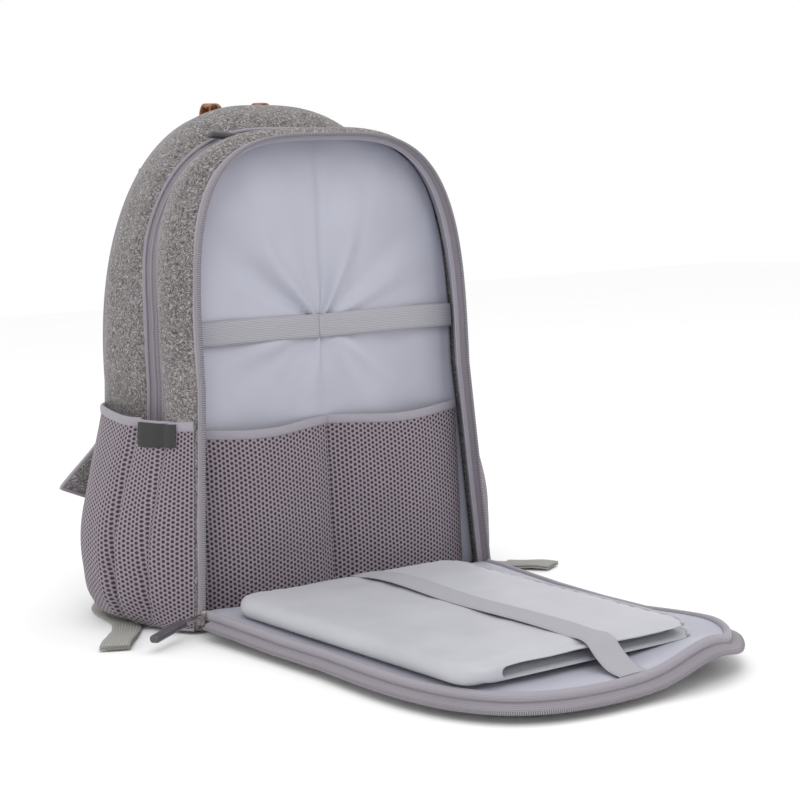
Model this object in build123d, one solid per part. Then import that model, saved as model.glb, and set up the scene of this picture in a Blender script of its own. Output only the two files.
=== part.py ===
from build123d import *
import os
from math import atan2, cos, degrees, radians, sin

# A nappy-changing rucksack standing on its base, with its front flap opened flat on the floor.
# Millimetres. X is across the bag, +Y towards its back, +Z up.
# The origin is the centre of the base's underside.

# Front opening: an arch with leaning sides and a squarish round top
FRONT_Y = -81.0
RIM_BASE_Z = 15.0
RIM_HEIGHT = 400.0
HALF_BASE = 146.7
HALF_SPRING = 133.3
SPRING_HEIGHT = 190.9
ARCH_STEPS = 8
FRONT_POWER = 3.6
REAR_POWER = 2.35

# Body: sections as (distance behind the opening, growth sideways, growth upwards, squareness of the top)
FRONT_SECTIONS = (
    (0.0, 0.0, 0.0, FRONT_POWER),
    (14.0, 10.0, 6.0, FRONT_POWER),
    (50.0, 13.0, 7.0, FRONT_POWER),
    (68.0, 6.0, 0.0, FRONT_POWER),
)
VALLEY_SECTIONS = (
    (68.0, 6.0, 0.0, FRONT_POWER),
    (73.0, 2.0, -3.0, FRONT_POWER),
    (87.0, 2.0, -3.0, FRONT_POWER),
    (92.0, 8.0, 8.0, FRONT_POWER),
)
REAR_SECTIONS = (
    (92.0, 8.0, 8.0, FRONT_POWER),
    (104.0, 16.0, 23.0, 2.9),
    (130.0, 19.0, 32.0, REAR_POWER),
    (148.0, 17.0, 31.0, REAR_POWER),
    (162.0, 8.0, 26.0, REAR_POWER),
)
CORNER = 16.0
FELT = 4.0
LINING = 1.2
BASE_TOP = 6.0
BASE_HALF_FRONT = 146.0
BASE_HALF_REAR = 156.0
BOARD = 3.0
BACK_DEPTH = 162.0
BACK_PANEL = 5.0

# Front compartment
DIVIDER_DEPTH = 25.0
DIVIDER = 4.0
POCKET_TOP = 163.0
POCKET_FLOOR = 9.0
POCKET_FRONT = 6.0
MESH = 2.5
BINDING_HEIGHT = 8.0
BAND_Z = 250.0
BAND_WIDTH = 20.0

# Zips
TAPE = 1.2
RIM_DEPTH = 12.5
RIM_LOW = 26.0
COIL = 3.0
COIL_SLIT = 0.9
ZIP_DEPTH = 80.0
ZIP_LOW = 100.0

# Side pockets: sections at three heights as (height, how far the belly stands out of the rim)
SIDE_POCKET_FRONT = 4.0
SIDE_POCKET_BACK = 150.0
SIDE_FRONT_GROW = 8.0
SIDE_BACK_GROW = 20.4
SIDE_POCKET_SECTIONS = ((6.0, 40.0), (84.0, 56.0), (172.0, 31.0))
SIDE_POCKET_PLAN = (
    (0.0, 0.0),
    (0.06, 0.24),
    (0.14, 0.46),
    (0.25, 0.62),
    (0.4, 0.8),
    (0.55, 0.94),
    (0.7, 1.0),
    (0.83, 0.9),
    (0.93, 0.6),
    (1.0, 0.0),
)
SIDE_BINDING = 8.0

# Flap: lies open in front of the body and turns up about an axis along X
FLAP_START = -5.0
FLAP_LIFT = 2.0
FLAP_TOP = 19.4
FLAP_RIM_TOP = 19.7
NOTCH = 12.0
NOTCH_LENGTH = 17.0

# Changing mat under its elastic on the flap
MAT_LOW = 20.1
MAT_LAYER = 8.2
MAT_GAP = 1.2
MAT_LEFT = -119.0
MAT_RIGHT = 98.0
MAT_NEAR = -38.0
MAT_FAR = -358.0
MAT_CORNER = 34.0
MAT_BAND_X = -8.0
MAT_BAND_WIDTH = 25.0

# Zip sliders and their pulls
SLIDER_WIDE = 8.4
SLIDER_LONG = 12.0
SLIDER_PLATE = 1.2
SLIDER_ROOM = 0.5
MAIN_ROOM = 1.7
SLIDER_POST = 1.0
SLIDER_START_Z = 17.0
PIN = 0.75
PIN_FIT = 0.08
LINK_LENGTH = 17.0
GRIP_LENGTH = 44.0
GRIP_WIDE = 9.0
GRIP_THICK = 6.4
MAIN_SLIDER_X = 9.0

# Carrying parts
HANDLE_HALF = 36.0
HANDLE_DROP = 42.0
HANDLE_WIDTH = 18.0
LEATHER = 3.2
HANDLE_Z = 441.0
STRAP_TOP_Z = 394.0
STRAP_LOW_Z = 104.0
STRAP_THICK = 11.0
WEBBING_WIDTH = 25.0
WEBBING = 1.6
GAP = 0.4


def depth(value):
    """Y of a point the given distance behind the front opening."""
    return FRONT_Y + value


def block(x0, x1, y0, y1, z0, z1):
    """Box between two corners."""
    middle = Pos((x0 + x1) / 2, (y0 + y1) / 2, (z0 + z1) / 2)
    return middle * Box(abs(x1 - x0), abs(y1 - y0), abs(z1 - z0))


def upright(y):
    """Plane facing the front at the given Y, whose own axes are across and up."""
    return Plane(origin=(0, y, 0), x_dir=(1, 0, 0), z_dir=(0, -1, 0))


def arch_top(half, spring, top, power):
    """Points of the squarish round top, from right to left."""
    points = []
    for step in range(ARCH_STEPS + 1):
        angle = radians(180.0 * step / ARCH_STEPS)
        side = cos(angle)
        rise = abs(sin(angle)) ** (2 / power)
        reach = abs(side) ** (2 / power)
        points.append((half * reach * (1 if side > 0 else -1), spring + (top - spring) * rise))
    points[0] = (half, spring)
    points[-1] = (-half, spring)
    return points


def arch(grow=0.0, rise=None, bottom=RIM_BASE_Z, corner=0.0, power=FRONT_POWER):
    """Face inside the arch line, moved out by grow, in the (across, up) plane."""
    rise = grow if rise is None else rise
    spring = RIM_BASE_Z + SPRING_HEIGHT
    lean = (HALF_BASE - HALF_SPRING) / SPRING_HEIGHT
    wide = HALF_SPRING + grow + lean * (spring - bottom - corner)
    narrow = HALF_SPRING + grow
    top = Spline(
        *arch_top(narrow, spring, RIM_BASE_Z + RIM_HEIGHT + rise, power),
        tangents=[(-lean, 1), (-lean, -1)],
    )
    edges = [top, Line((-narrow, spring), (-wide, bottom + corner))]
    if corner:
        bend = corner * (1 - cos(radians(45)))
        low = wide - corner
        edges.append(ThreePointArc((-wide, bottom + corner), (-wide + bend, bottom + bend), (-low, bottom)))
        edges.append(Line((-low, bottom), (low, bottom)))
        edges.append(ThreePointArc((low, bottom), (wide - bend, bottom + bend), (wide, bottom + corner)))
    else:
        edges.append(Line((-wide, bottom), (wide, bottom)))
    edges.append(Line((wide, bottom + corner), (narrow, spring)))
    return make_face(edges)


def skin(sections, inset, bottom, run_out):
    """Solid inside the given sections, shrunk by inset and lengthened past both ends by run_out."""
    faces = []
    last = len(sections) - 1
    for index, (back, grow, rise, power) in enumerate(sections):
        shift = -run_out if index == 0 else run_out if index == last else 0.0
        face = arch(grow - inset, rise - inset, bottom=bottom, power=power)
        faces.append(upright(depth(back + shift)) * face)
    return loft(faces, ruled=True)


def band(sections, outer, inner, low):
    """Band over the sides and top of the given sections, between two insets, open below."""
    return skin(sections, outer, low, 0.0) - skin(sections, inner, low - 1, 1.0)


def arch_ring(outer, inner, front, back, low=RIM_LOW):
    """Band that follows the arch, between two offsets of it and two depths."""
    face = arch(outer) - arch(inner, bottom=RIM_BASE_Z - 1)
    ring = extrude(upright(depth(back)) * face, back - front)
    return ring - block(-300, 300, depth(front - 1), depth(back + 1), 0, low)


def write(name, shape):
    print(name, round(shape.volume), len(shape.solids()))
    export_step(shape, os.path.join("parts", name + ".step"))


# ---------------------------------------------------------------- body

def section_at(sections, back):
    """Section at a distance behind the opening, between two of the given ones."""
    for start, end in zip(sections, sections[1:]):
        if start[0] <= back <= end[0]:
            share = (back - start[0]) / (end[0] - start[0])
            return tuple(a + share * (b - a) for a, b in zip(start, end))
    return sections[-1]


def stretch(sections, near, far):
    """Sections between two distances behind the opening."""
    middle = [section for section in sections if near < section[0] < far]
    return [section_at(sections, near), *middle, section_at(sections, far)]


def base_parts():
    """Felt base and the stiffening board on it."""
    front = BASE_HALF_FRONT
    rear = BASE_HALF_REAR
    plan = Polyline(
        (-front, depth(0)), (-rear, depth(40)), (-rear, depth(130)), (-front, depth(BACK_DEPTH)),
        (front, depth(BACK_DEPTH)), (rear, depth(130)), (rear, depth(40)), (front, depth(0)), close=True,
    )
    write("base_panel", extrude(make_face(plan), BASE_TOP))
    inset = front - 8
    board = block(-inset, inset, depth(DIVIDER_DEPTH + DIVIDER + 6), depth(150), BASE_TOP, BASE_TOP + BOARD)
    write("base_board", board)


def body_shell():
    """Felt gussets, linings and the divider between the two compartments."""
    seam = band(VALLEY_SECTIONS, 0.0, FELT, BASE_TOP) - block(-300, 300, depth(0), depth(200), ZIP_LOW, 600)
    write("front_gusset", band(FRONT_SECTIONS, 0.0, FELT, BASE_TOP))
    write("rear_gusset", band(REAR_SECTIONS, 0.0, FELT, BASE_TOP))
    write("side_seams", seam)
    opening = stretch(FRONT_SECTIONS, 0.0, DIVIDER_DEPTH)
    write("front_lining", band(opening, FELT, FELT + LINING, BASE_TOP))
    write("main_lining", band(REAR_SECTIONS[:4], FELT, FELT + LINING, BASE_TOP))
    grow, rise = opening[-1][1:3]
    divider = arch(grow - FELT - 0.1, rise - FELT - 0.1, bottom=BASE_TOP)
    write("divider_panel", extrude(upright(depth(DIVIDER_DEPTH + DIVIDER)) * divider, DIVIDER))


def main_zip():
    """Two tapes and two coils along the valley between the front and the rear of the bag."""
    tape = FELT * 0.4
    half_coil = COIL / 2 + COIL_SLIT
    near = VALLEY_SECTIONS[0][0]
    far = VALLEY_SECTIONS[-1][0]
    tapes = []
    coils = []
    for tape_span, coil_span in (
        ((near, ZIP_DEPTH - half_coil), (ZIP_DEPTH - half_coil, ZIP_DEPTH - COIL_SLIT)),
        ((ZIP_DEPTH + half_coil, far), (ZIP_DEPTH + COIL_SLIT, ZIP_DEPTH + half_coil)),
    ):
        strip = stretch(VALLEY_SECTIONS, *tape_span)
        coil = stretch(VALLEY_SECTIONS, *coil_span)
        tapes.append(band(strip, tape, tape + TAPE, ZIP_LOW))
        coils.append(band(coil, tape - 1, tape + TAPE + 1, ZIP_LOW))
    write("main_zip_tapes", tapes[0] + tapes[1])
    write("main_zip_coils", coils[0] + coils[1])


def back_parts():
    """Padded back, its stiffener and the padded area between the straps."""
    grow, rise, power = REAR_SECTIONS[-1][1:]
    back = depth(BACK_DEPTH)
    face = arch(grow, rise, bottom=3.0, corner=CORNER, power=power)
    panel = extrude(upright(back + BACK_PANEL) * face, BACK_PANEL)
    write("back_panel", panel)
    inset = FELT + LINING + GAP
    board = arch(grow - inset, rise - inset, bottom=BASE_TOP + 1, corner=CORNER, power=power)
    write("back_board", extrude(upright(back) * board, BOARD))
    pad_low = 40.0
    pad_high = 380.0
    pad = block(-46, 46, back + BACK_PANEL, back + BACK_PANEL + 6, pad_low, pad_high)
    write("back_pad", fillet(pad.edges().filter_by(Axis.Y), 24))


def front_rim():
    """Zip tape, coil and binding round the front opening."""
    write("front_zip_tape", arch_ring(-0.2, -0.2 - TAPE, -RIM_DEPTH + COIL, 0.0))
    write("front_zip_coil", arch_ring(0.7, 0.7 - COIL, -RIM_DEPTH, -RIM_DEPTH + COIL))
    write("front_rim_binding", arch_ring(-0.2 - TAPE, -FELT, -5.0, 0.0))


def bulge(x0, x1, back, front, wall):
    """Plan section of a pocket wall that bows forward between two seams on the divider."""
    middle = (x0 + x1) / 2
    outer = ThreePointArc((x0, back), (middle, front), (x1, back))
    inner = ThreePointArc((x0 + wall, back), (middle, front + wall), (x1 - wall, back))
    ends = [Line((x0, back), (x0 + wall, back)), Line((x1, back), (x1 - wall, back))]
    return make_face([outer, inner, *ends])


def inner_pockets():
    """Two mesh pockets on the divider, each with a bound top edge."""
    seam = depth(DIVIDER_DEPTH)
    for name, x0, x1 in (("left", -134.0, -1.5), ("right", 1.5, 134.0)):
        wall = bulge(x0, x1, seam, depth(POCKET_FRONT), MESH)
        mesh = extrude(Pos(0, 0, POCKET_FLOOR) * wall, POCKET_TOP - POCKET_FLOOR)
        write("inner_pocket_" + name, mesh)
        edge = bulge(x0, x1, seam, depth(POCKET_FRONT - 0.6), MESH + 1.2)
        binding = extrude(Pos(0, 0, POCKET_TOP) * edge, BINDING_HEIGHT)
        write("inner_pocket_binding_" + name, binding)


def elastic_band():
    """Elastic across the divider, sewn down at both sides and at the middle."""
    seam = depth(DIVIDER_DEPTH)
    low = BAND_Z - BAND_WIDTH / 2
    loops = Part()
    for x0, x1 in ((-135.0, -4.0), (4.0, 135.0)):
        loops += extrude(Pos(0, 0, low) * bulge(x0, x1, seam, seam - 11.0, TAPE + 0.4), BAND_WIDTH)
    write("elastic_band", loops)
    write("elastic_bartack", block(-3.6, 3.6, seam - 2.0, seam, low - 1, BAND_Z + BAND_WIDTH / 2 + 1))


def pocket_wall(height):
    """Half width of the opening's straight side at a height, from which side pockets are measured."""
    lean = (HALF_BASE - HALF_SPRING) / SPRING_HEIGHT
    return HALF_SPRING + lean * (RIM_BASE_Z + SPRING_HEIGHT - height)


def pocket_line(height, belly, side, inset):
    """Points of a side pocket's bowed plan line, from its front seam to its back seam."""
    wall = pocket_wall(height)
    near = depth(SIDE_POCKET_FRONT + inset)
    far = depth(SIDE_POCKET_BACK - inset)
    points = []
    for along, share in SIDE_POCKET_PLAN:
        seam = SIDE_FRONT_GROW + along * (SIDE_BACK_GROW - SIDE_FRONT_GROW)
        out = wall + seam + share * (belly - seam - inset)
        points.append((side * out, near + along * (far - near)))
    return points


def pocket_face(height, belly, side, thick):
    """Plan section of the pocket's wall."""
    outer = pocket_line(height, belly, side, 0.0)
    inner = pocket_line(height, belly, side, thick)
    return Pos(0, 0, height) * make_face(Polyline(*outer, *reversed(inner), close=True))


def side_pockets():
    """Mesh cups on both sides, each with a bound mouth."""
    for name, side in (("left", -1), ("right", 1)):
        faces = [pocket_face(height, belly, side, MESH) for height, belly in SIDE_POCKET_SECTIONS]
        height, belly = SIDE_POCKET_SECTIONS[0]
        edge = pocket_line(height, belly, side, MESH / 2)
        wall = pocket_wall(height)
        seam = []
        for back, grow, _, _ in FRONT_SECTIONS[1:] + VALLEY_SECTIONS[1:3] + REAR_SECTIONS[:-1]:
            seam.append((side * (wall + grow + GAP), depth(back)))
        floor = Pos(0, 0, height) * make_face(Polyline(*edge, *reversed(seam), close=True))
        write("side_pocket_" + name, loft(faces, ruled=True) + extrude(floor, MESH))
        height, belly = SIDE_POCKET_SECTIONS[-1]
        write("side_pocket_binding_" + name, extrude(pocket_face(height, belly, side, MESH), SIDE_BINDING))


def side_tag():
    """Blank folded tag hanging from the left pocket's binding."""
    height, belly = SIDE_POCKET_SECTIONS[-1]
    x = -pocket_wall(height) - belly - 6.6
    write("side_tag", block(x - 1.6, x, depth(44), depth(76), height - 17, height + 3))


# ---------------------------------------------------------------- flap

def laid(z):
    """Plane flat on the floor, whose second axis runs from the flap's hinge to its far end."""
    return Plane(origin=(0, depth(FLAP_START) + RIM_BASE_Z, z), x_dir=(-1, 0, 0), z_dir=(0, 0, 1))


def flap_notches():
    """Room at the flap's two hinge corners for the zip's ends."""
    cut = Part()
    for side in (-1, 1):
        inner = side * (HALF_BASE - NOTCH)
        outer = side * (HALF_BASE + 40)
        cut += block(inner, outer, depth(FLAP_START - NOTCH_LENGTH), depth(FLAP_START + 10), -5, 40)
    return cut


def flap_slab(grow, low, high):
    """Plate of the flap's outline between two heights."""
    return extrude(laid(low) * arch(grow), high - low)


def flap_ring(outer, inner, low, high):
    """Open band along the flap's three zipped sides between two heights."""
    face = arch(outer) - arch(inner, bottom=RIM_BASE_Z - 1)
    return extrude(laid(low) * face, high - low) - flap_notches()


def flap_parts():
    """Felt outer, foam, lining, zip tape, coil, binding and sewn hinge edge."""
    notches = flap_notches()
    felt_high = 8.0
    shape = loft([laid(FLAP_LIFT) * arch(-9.0), laid(felt_high) * arch(-4.6)])
    pan = flap_slab(-24.0, 0.0, FLAP_LIFT) - block(-300, 300, depth(-22), depth(20), -1, 5)
    hollow = flap_slab(-12.0, FLAP_LIFT + FELT, felt_high + 1)
    write("flap_felt", (shape + pan) - hollow - notches)
    foam = flap_slab(-12.0, FLAP_LIFT + FELT, felt_high) + flap_slab(-5.0, felt_high, FLAP_TOP - LINING)
    write("flap_foam", foam - notches)
    write("flap_lining", flap_slab(-4.6, FLAP_TOP - LINING, FLAP_TOP) - notches)
    write("flap_binding", flap_ring(-1.2, -4.6, 11.5, FLAP_RIM_TOP))
    write("flap_zip_tape", flap_ring(3.4, -4.6, 9.4, 11.2))
    write("flap_zip_coil", flap_ring(6.4, 3.4, 8.6, 11.6))
    strip = block(-HALF_BASE + 20, HALF_BASE - 20, depth(FLAP_START), depth(FLAP_START + 3), 4.0, 12.0)
    write("flap_hinge_strip", strip)


def mat_elastic():
    """Elastic that runs the length of the flap, over the changing mat."""
    x0 = MAT_BAND_X - MAT_BAND_WIDTH / 2
    x1 = MAT_BAND_X + MAT_BAND_WIDTH / 2
    low = FLAP_TOP
    high = MAT_LOW + 2 * MAT_LAYER + MAT_GAP + GAP
    near = depth(-26)
    far = depth(-396)
    run_near = depth(MAT_NEAR) + 4
    run_far = depth(MAT_FAR) - 4
    points = [(near, low), (run_near, high), (run_far, high), (far, low)]
    tops = [(far - 3, low), (run_far - 1, high + TAPE), (run_near + 1, high + TAPE), (near + 3, low)]
    side = make_face(Polyline(*points, *tops, close=True))
    plane = Plane(origin=(x0, 0, 0), x_dir=(0, 1, 0), z_dir=(1, 0, 0))
    write("mat_elastic", extrude(plane * side, x1 - x0))


def mat_parts():
    """Padded changing mat, folded once along its left side, and the binding of its open edges."""
    fold = Rectangle(MAT_RIGHT - MAT_LEFT, MAT_NEAR - MAT_FAR)
    outline = fillet(fold.vertices(), MAT_CORNER)
    centre = Pos((MAT_LEFT + MAT_RIGHT) / 2, depth((MAT_NEAR + MAT_FAR) / 2), 0)
    lower = extrude(centre * Pos(0, 0, MAT_LOW) * outline, MAT_LAYER)
    upper_low = MAT_LOW + MAT_LAYER + MAT_GAP
    upper = extrude(centre * Pos(0, 0, upper_low) * outline, MAT_LAYER)
    spine = extrude(centre * Pos(0, 0, MAT_LOW + MAT_LAYER) * outline, MAT_GAP)
    spine &= block(MAT_LEFT - 1, MAT_LEFT + 18, depth(MAT_FAR), depth(MAT_NEAR), 0, 60)
    edge = MAT_RIGHT - 3.0
    trim = block(edge, MAT_RIGHT + 1, depth(MAT_FAR), depth(MAT_NEAR), 0, 60)
    whole = lower + upper + spine
    write("mat_pad", whole - trim)
    write("mat_binding", whole & trim)


# ---------------------------------------------------------------- zip sliders

def slider(room):
    """Slider at the origin that runs along its own Z, its outer plate towards +X, with two pin ears.

    room is the clear height between its plates.
    """
    inner = room / 2
    outer = inner + SLIDER_PLATE
    plates = Part()
    for side in (-1, 1):
        plates += Pos(side * (inner + outer) / 2, 0, 0) * Box(SLIDER_PLATE, SLIDER_WIDE, SLIDER_LONG)
    plates = fillet(plates.edges().filter_by(Axis.X), 2.0)
    post = Pos(0, 0, SLIDER_LONG / 2 - 2.5) * Box(2 * inner, SLIDER_POST, 4.0)
    ears = Part()
    ear_reach = 3.0
    for side in (-1, 1):
        ear = Pos(outer + ear_reach / 2, side * 2.4, 0) * Box(ear_reach, 1.0, 4.4)
        ears += ear
    hole = Pos(outer + ear_reach / 2, 0, 0) * Rot(90, 0, 0) * Cylinder(PIN + PIN_FIT, 10)
    return plates + post + ears - hole


def pin_offset(room):
    """How far the pull's pin stands from the middle of a slider."""
    return room / 2 + SLIDER_PLATE + 1.5


def pull_link():
    """Metal link that starts at a pin along Y at the origin and reaches along +X."""
    half = 3.9
    bar = 1.3
    pin = Rot(90, 0, 0) * Cylinder(PIN, 2 * half)
    cheeks = Part()
    for side in (-1, 1):
        cheek = Pos(LINK_LENGTH / 2 - 1, side * (half + bar / 2), 0) * Box(LINK_LENGTH, bar, 2.2)
        cheeks += cheek
    bridge = Pos(LINK_LENGTH - 2, 0, 0) * Box(2.0, 2 * half + 2 * bar, 2.2)
    return pin + cheeks + bridge


def pull_grip():
    """Moulded grip round the far end of the link."""
    start = LINK_LENGTH - 1.5
    grip = Pos(start + GRIP_LENGTH / 2, 0, 0) * Box(GRIP_LENGTH, GRIP_WIDE, GRIP_THICK)
    return fillet(grip.edges(), 2.6)


def place_zip_end(name, plane, room, turn):
    """Writes a slider in its plane, and a link and grip turned by the given angles about its pin."""
    write(name + "_slider", plane * slider(room))
    pivot = plane * Pos(pin_offset(room), 0, 0)
    swing, sideways = turn
    pose = pivot * Rot(0, swing, 0)
    spread = pose * Pos(LINK_LENGTH - 2, 0, 0) * Rot(0, 0, sideways) * Pos(2 - LINK_LENGTH, 0, 0)
    link = pose * pull_link()
    write(name + "_pull_link", link)
    write(name + "_pull_grip", spread * pull_grip() - link)


def sliders():
    """Front slider low on the left edge, and two sliders that meet at the top of the main zip."""
    lean = Vector(HALF_BASE - HALF_SPRING, 0, SPRING_HEIGHT).normalized()
    spring = RIM_BASE_Z + SPRING_HEIGHT
    slope = (HALF_BASE - HALF_SPRING) / SPRING_HEIGHT
    coil_middle = 0.7 - COIL / 2
    edge = HALF_SPRING + slope * (spring - SLIDER_START_Z) + coil_middle
    origin = (-edge, depth(-RIM_DEPTH - GAP - SLIDER_POST / 2), SLIDER_START_Z)
    outward = Vector(-lean.Z, 0, lean.X)
    front = Plane(origin=origin, x_dir=outward, z_dir=lean)
    place_zip_end("front", front, COIL + 2 * SLIDER_ROOM, (10.0, 30.0))
    rise = section_at(VALLEY_SECTIONS, ZIP_DEPTH)[2]
    middle = FELT * 0.4 + TAPE / 2
    crown = RIM_BASE_Z + RIM_HEIGHT + rise - middle
    slope_down = 2.4
    for name, side in (("left", -1), ("right", 1)):
        along = Vector(side * cos(radians(slope_down)), 0, -sin(radians(slope_down)))
        up = Vector(side * sin(radians(slope_down)), 0, cos(radians(slope_down)))
        start = Plane(origin=(side * MAIN_SLIDER_X, depth(ZIP_DEPTH), crown - 0.3), x_dir=up, z_dir=along)
        place_zip_end("main_" + name, start, TAPE + 2 + 2 * MAIN_ROOM, (-82.0, 0.0))


# ---------------------------------------------------------------- handle, straps, webbing

def handle_parts():
    """Leather tabs in the top seam, and the leather handle that hangs from them behind the back."""
    back = depth(BACK_DEPTH + BACK_PANEL)
    middle = back + LEATHER + 1.0 + HANDLE_WIDTH / 2
    tabs = Part()
    rivets = Part()
    for side in (-1, 1):
        x = side * (HANDLE_HALF - 12.0)
        tabs += block(x - 7.5, x + 7.5, back, back + LEATHER, HANDLE_Z - 26, HANDLE_Z + 10)
        rivets += Pos(x, back + LEATHER + 1.0, HANDLE_Z - 12) * Rot(90, 0, 0) * Cylinder(4.0, 2.0)
    write("handle_tabs", tabs)
    write("handle_rivets", rivets)
    outer = Rectangle(2 * HANDLE_HALF, HANDLE_DROP)
    outer = fillet(outer.vertices().group_by(Axis.Y)[0], 20.0)
    hole = Rectangle(2 * (HANDLE_HALF - LEATHER), HANDLE_DROP)
    hole = fillet(hole.vertices().group_by(Axis.Y)[0], 20.0 - LEATHER)
    loop = outer - Pos(0, LEATHER) * hole
    strap = extrude(upright(middle + HANDLE_WIDTH / 2) * Pos(0, HANDLE_Z - HANDLE_DROP / 2) * loop, HANDLE_WIDTH)
    write("carry_handle", strap)
    pins = Part()
    for side in (-1, 1):
        x = side * (HANDLE_HALF - LEATHER - GAP - 1.5)
        pins += block(x - 1.5, x + 1.5, back + LEATHER, middle + 3, HANDLE_Z - 6, HANDLE_Z)
    write("handle_hinge_loops", pins)


def strap_solid(side):
    """Padded shoulder strap: its outline from behind, cut by its bowed side profile."""
    top = STRAP_TOP_Z
    low = STRAP_LOW_Z
    outer = Spline((92, top), (96, 320), (104, 240), (130, 165), (183, low + 4))
    inner = Spline((116, low - 26), (92, 130), (60, 200), (45, 300), (40, top))
    outline = make_face([outer, Line((183, low + 4), (116, low - 26)), inner, Line((40, top), (92, top))])
    if side < 0:
        outline = mirror(outline, about=Plane.YZ)
    wide = extrude(upright(depth(300)) * outline, 200)
    near = depth(BACK_DEPTH + BACK_PANEL + 7.6)
    line = [(near, top + 1), (near + 5, 320), (near + 11, 235), (near + 19, 150), (near + 24, low - 30)]
    front = Spline(*line)
    back = Spline(*[(y + STRAP_THICK, z) for y, z in reversed(line)])
    ends = [
        Line(line[-1], (line[-1][0] + STRAP_THICK, line[-1][1])),
        Line((line[0][0] + STRAP_THICK, line[0][1]), line[0]),
    ]
    side_plane = Plane(origin=(side * 100, 0, 0), x_dir=(0, 1, 0), z_dir=(1, 0, 0))
    profile = extrude(side_plane * make_face([front, ends[0], back, ends[1]]), 110, both=True)
    return wide & profile


def ribbon(points, x0, x1):
    """Flat webbing that follows a line in the side view, between two X values."""
    strip = trace(Polyline(*points), line_width=WEBBING)
    side_plane = Plane(origin=(x0, 0, 0), x_dir=(0, 1, 0), z_dir=(1, 0, 0))
    return extrude(side_plane * strip, x1 - x0)


def strap_parts():
    """Shoulder straps with their top anchors, adjusters, lower webbing and free tails."""
    back = depth(BACK_DEPTH + BACK_PANEL)
    top_anchors = Part()
    low_anchors = Part()
    for name, side in (("left", -1), ("right", 1)):
        pad = strap_solid(side)
        write("strap_pad_" + name, pad)
        top_anchors += block(side * 40, side * 88, back, back + 16, STRAP_TOP_Z + 3.2, STRAP_TOP_Z + 12)
        low_anchors += block(side * 96, side * 124, back, back + 2.4, 8, 40)
        y = back + 30.0
        frame = Box(40, 5, 24)
        for slot in (-6, 6):
            frame -= Pos(0, 0, slot) * Box(28, 6, 6.5)
        tilt = Rot(0, side * 25, 0)
        adjuster = Pos(side * 111.0, y + 5.0, 64.0) * tilt * frame
        write("strap_adjuster_" + name, adjuster - pad)
        hang = [(back + 3.4, 34), (back + 5, 10), (back + 12, 3), (back + 27, 5), (back + 33, 24), (back + 34, 41)]
        x0 = side * 98.0
        x1 = side * (98.0 + WEBBING_WIDTH)
        write("strap_webbing_" + name, ribbon(hang, min(x0, x1), max(x0, x1)))
        route = Spline(
            (side * 130, back + 42),
            (side * 168, depth(150)),
            (side * 178, depth(80)),
            (side * 224, depth(-4)),
        )
        tail = extrude(trace(route, line_width=WEBBING_WIDTH), WEBBING)
        write("strap_tail_" + name, tail)
    write("strap_anchors", top_anchors)
    write("webbing_anchors", low_anchors)


def main():
    os.makedirs("parts", exist_ok=True)
    base_parts()
    body_shell()
    main_zip()
    back_parts()
    front_rim()
    inner_pockets()
    elastic_band()
    side_pockets()
    side_tag()
    flap_parts()
    mat_elastic()
    mat_parts()
    sliders()
    handle_parts()
    strap_parts()


main()
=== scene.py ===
from math import cos, pi, radians, sin

import bmesh
import bpy
import numpy as np
from mathutils import Matrix, Vector


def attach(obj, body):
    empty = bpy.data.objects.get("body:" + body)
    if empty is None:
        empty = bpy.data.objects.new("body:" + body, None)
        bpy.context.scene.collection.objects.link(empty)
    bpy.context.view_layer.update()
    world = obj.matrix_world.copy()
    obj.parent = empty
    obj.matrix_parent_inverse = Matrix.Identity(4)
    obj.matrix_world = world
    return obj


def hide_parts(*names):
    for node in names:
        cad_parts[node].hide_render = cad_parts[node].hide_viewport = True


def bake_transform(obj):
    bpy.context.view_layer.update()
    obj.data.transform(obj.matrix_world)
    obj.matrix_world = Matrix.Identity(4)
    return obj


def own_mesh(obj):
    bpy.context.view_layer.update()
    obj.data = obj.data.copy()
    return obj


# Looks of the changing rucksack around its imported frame.
# Lengths here are millimetres unless a name says otherwise.

MM = 0.001

# Camera, in the row frame
CAMERA_AT = (-744.556, -1379.725, 337.968)
CAMERA_YAW = 0.557211
CAMERA_PITCH = 0.104468
CAMERA_ROLL = -0.0526756
CAMERA_LENS = 77.3
SENSOR = 36.0

# Front opening, as in the frame
FRONT_Y = -81.0
RIM_BASE = 15.0
RIM_HEIGHT = 400.0
HALF_SPRING = 133.3
SPRING = 205.9
LEAN = 13.4 / 190.9
SQUARE = 3.6
BACK_SQUARE = 2.2
BASE_TOP = 6.0

# Body profile: distance behind the opening, growth sideways, growth upwards, squareness of the top
PROFILE = np.array([
    (-14.0, -6.0, -4.0, 3.6),
    (0.0, 0.0, 0.0, 3.6),
    (12.0, 9.0, 6.0, 3.6),
    (35.0, 14.0, 6.5, 3.4),
    (60.0, 11.0, 3.0, 3.0),
    (72.0, 4.5, -2.5, 2.8),
    (80.0, 3.0, -3.0, 2.75),
    (88.0, 6.0, 4.0, 2.7),
    (100.0, 14.5, 20.0, 2.5),
    (120.0, 19.5, 32.5, 2.3),
    (145.0, 20.0, 36.0, 2.2),
    (158.0, 15.0, 33.0, 2.2),
    (168.0, 5.0, 26.0, 2.2),
])
RIGHT_EASE = (3.2, 2.7)
ZIP_FORWARD = 16.0
FELT = 4.0
LINING = 1.2
DIVIDER = 25.0
BACK = 162.0

BACK_PANEL = 5.0
AROUND = 260

# Elastic across the divider, and the two inner pockets: half width at the seams, heights
BAND_Z = 250.0
BAND_WIDTH = 20.0
SEAM_X = 137.5
POCKET_LOW = 8.0
POCKET_TOP = 164.0

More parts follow.
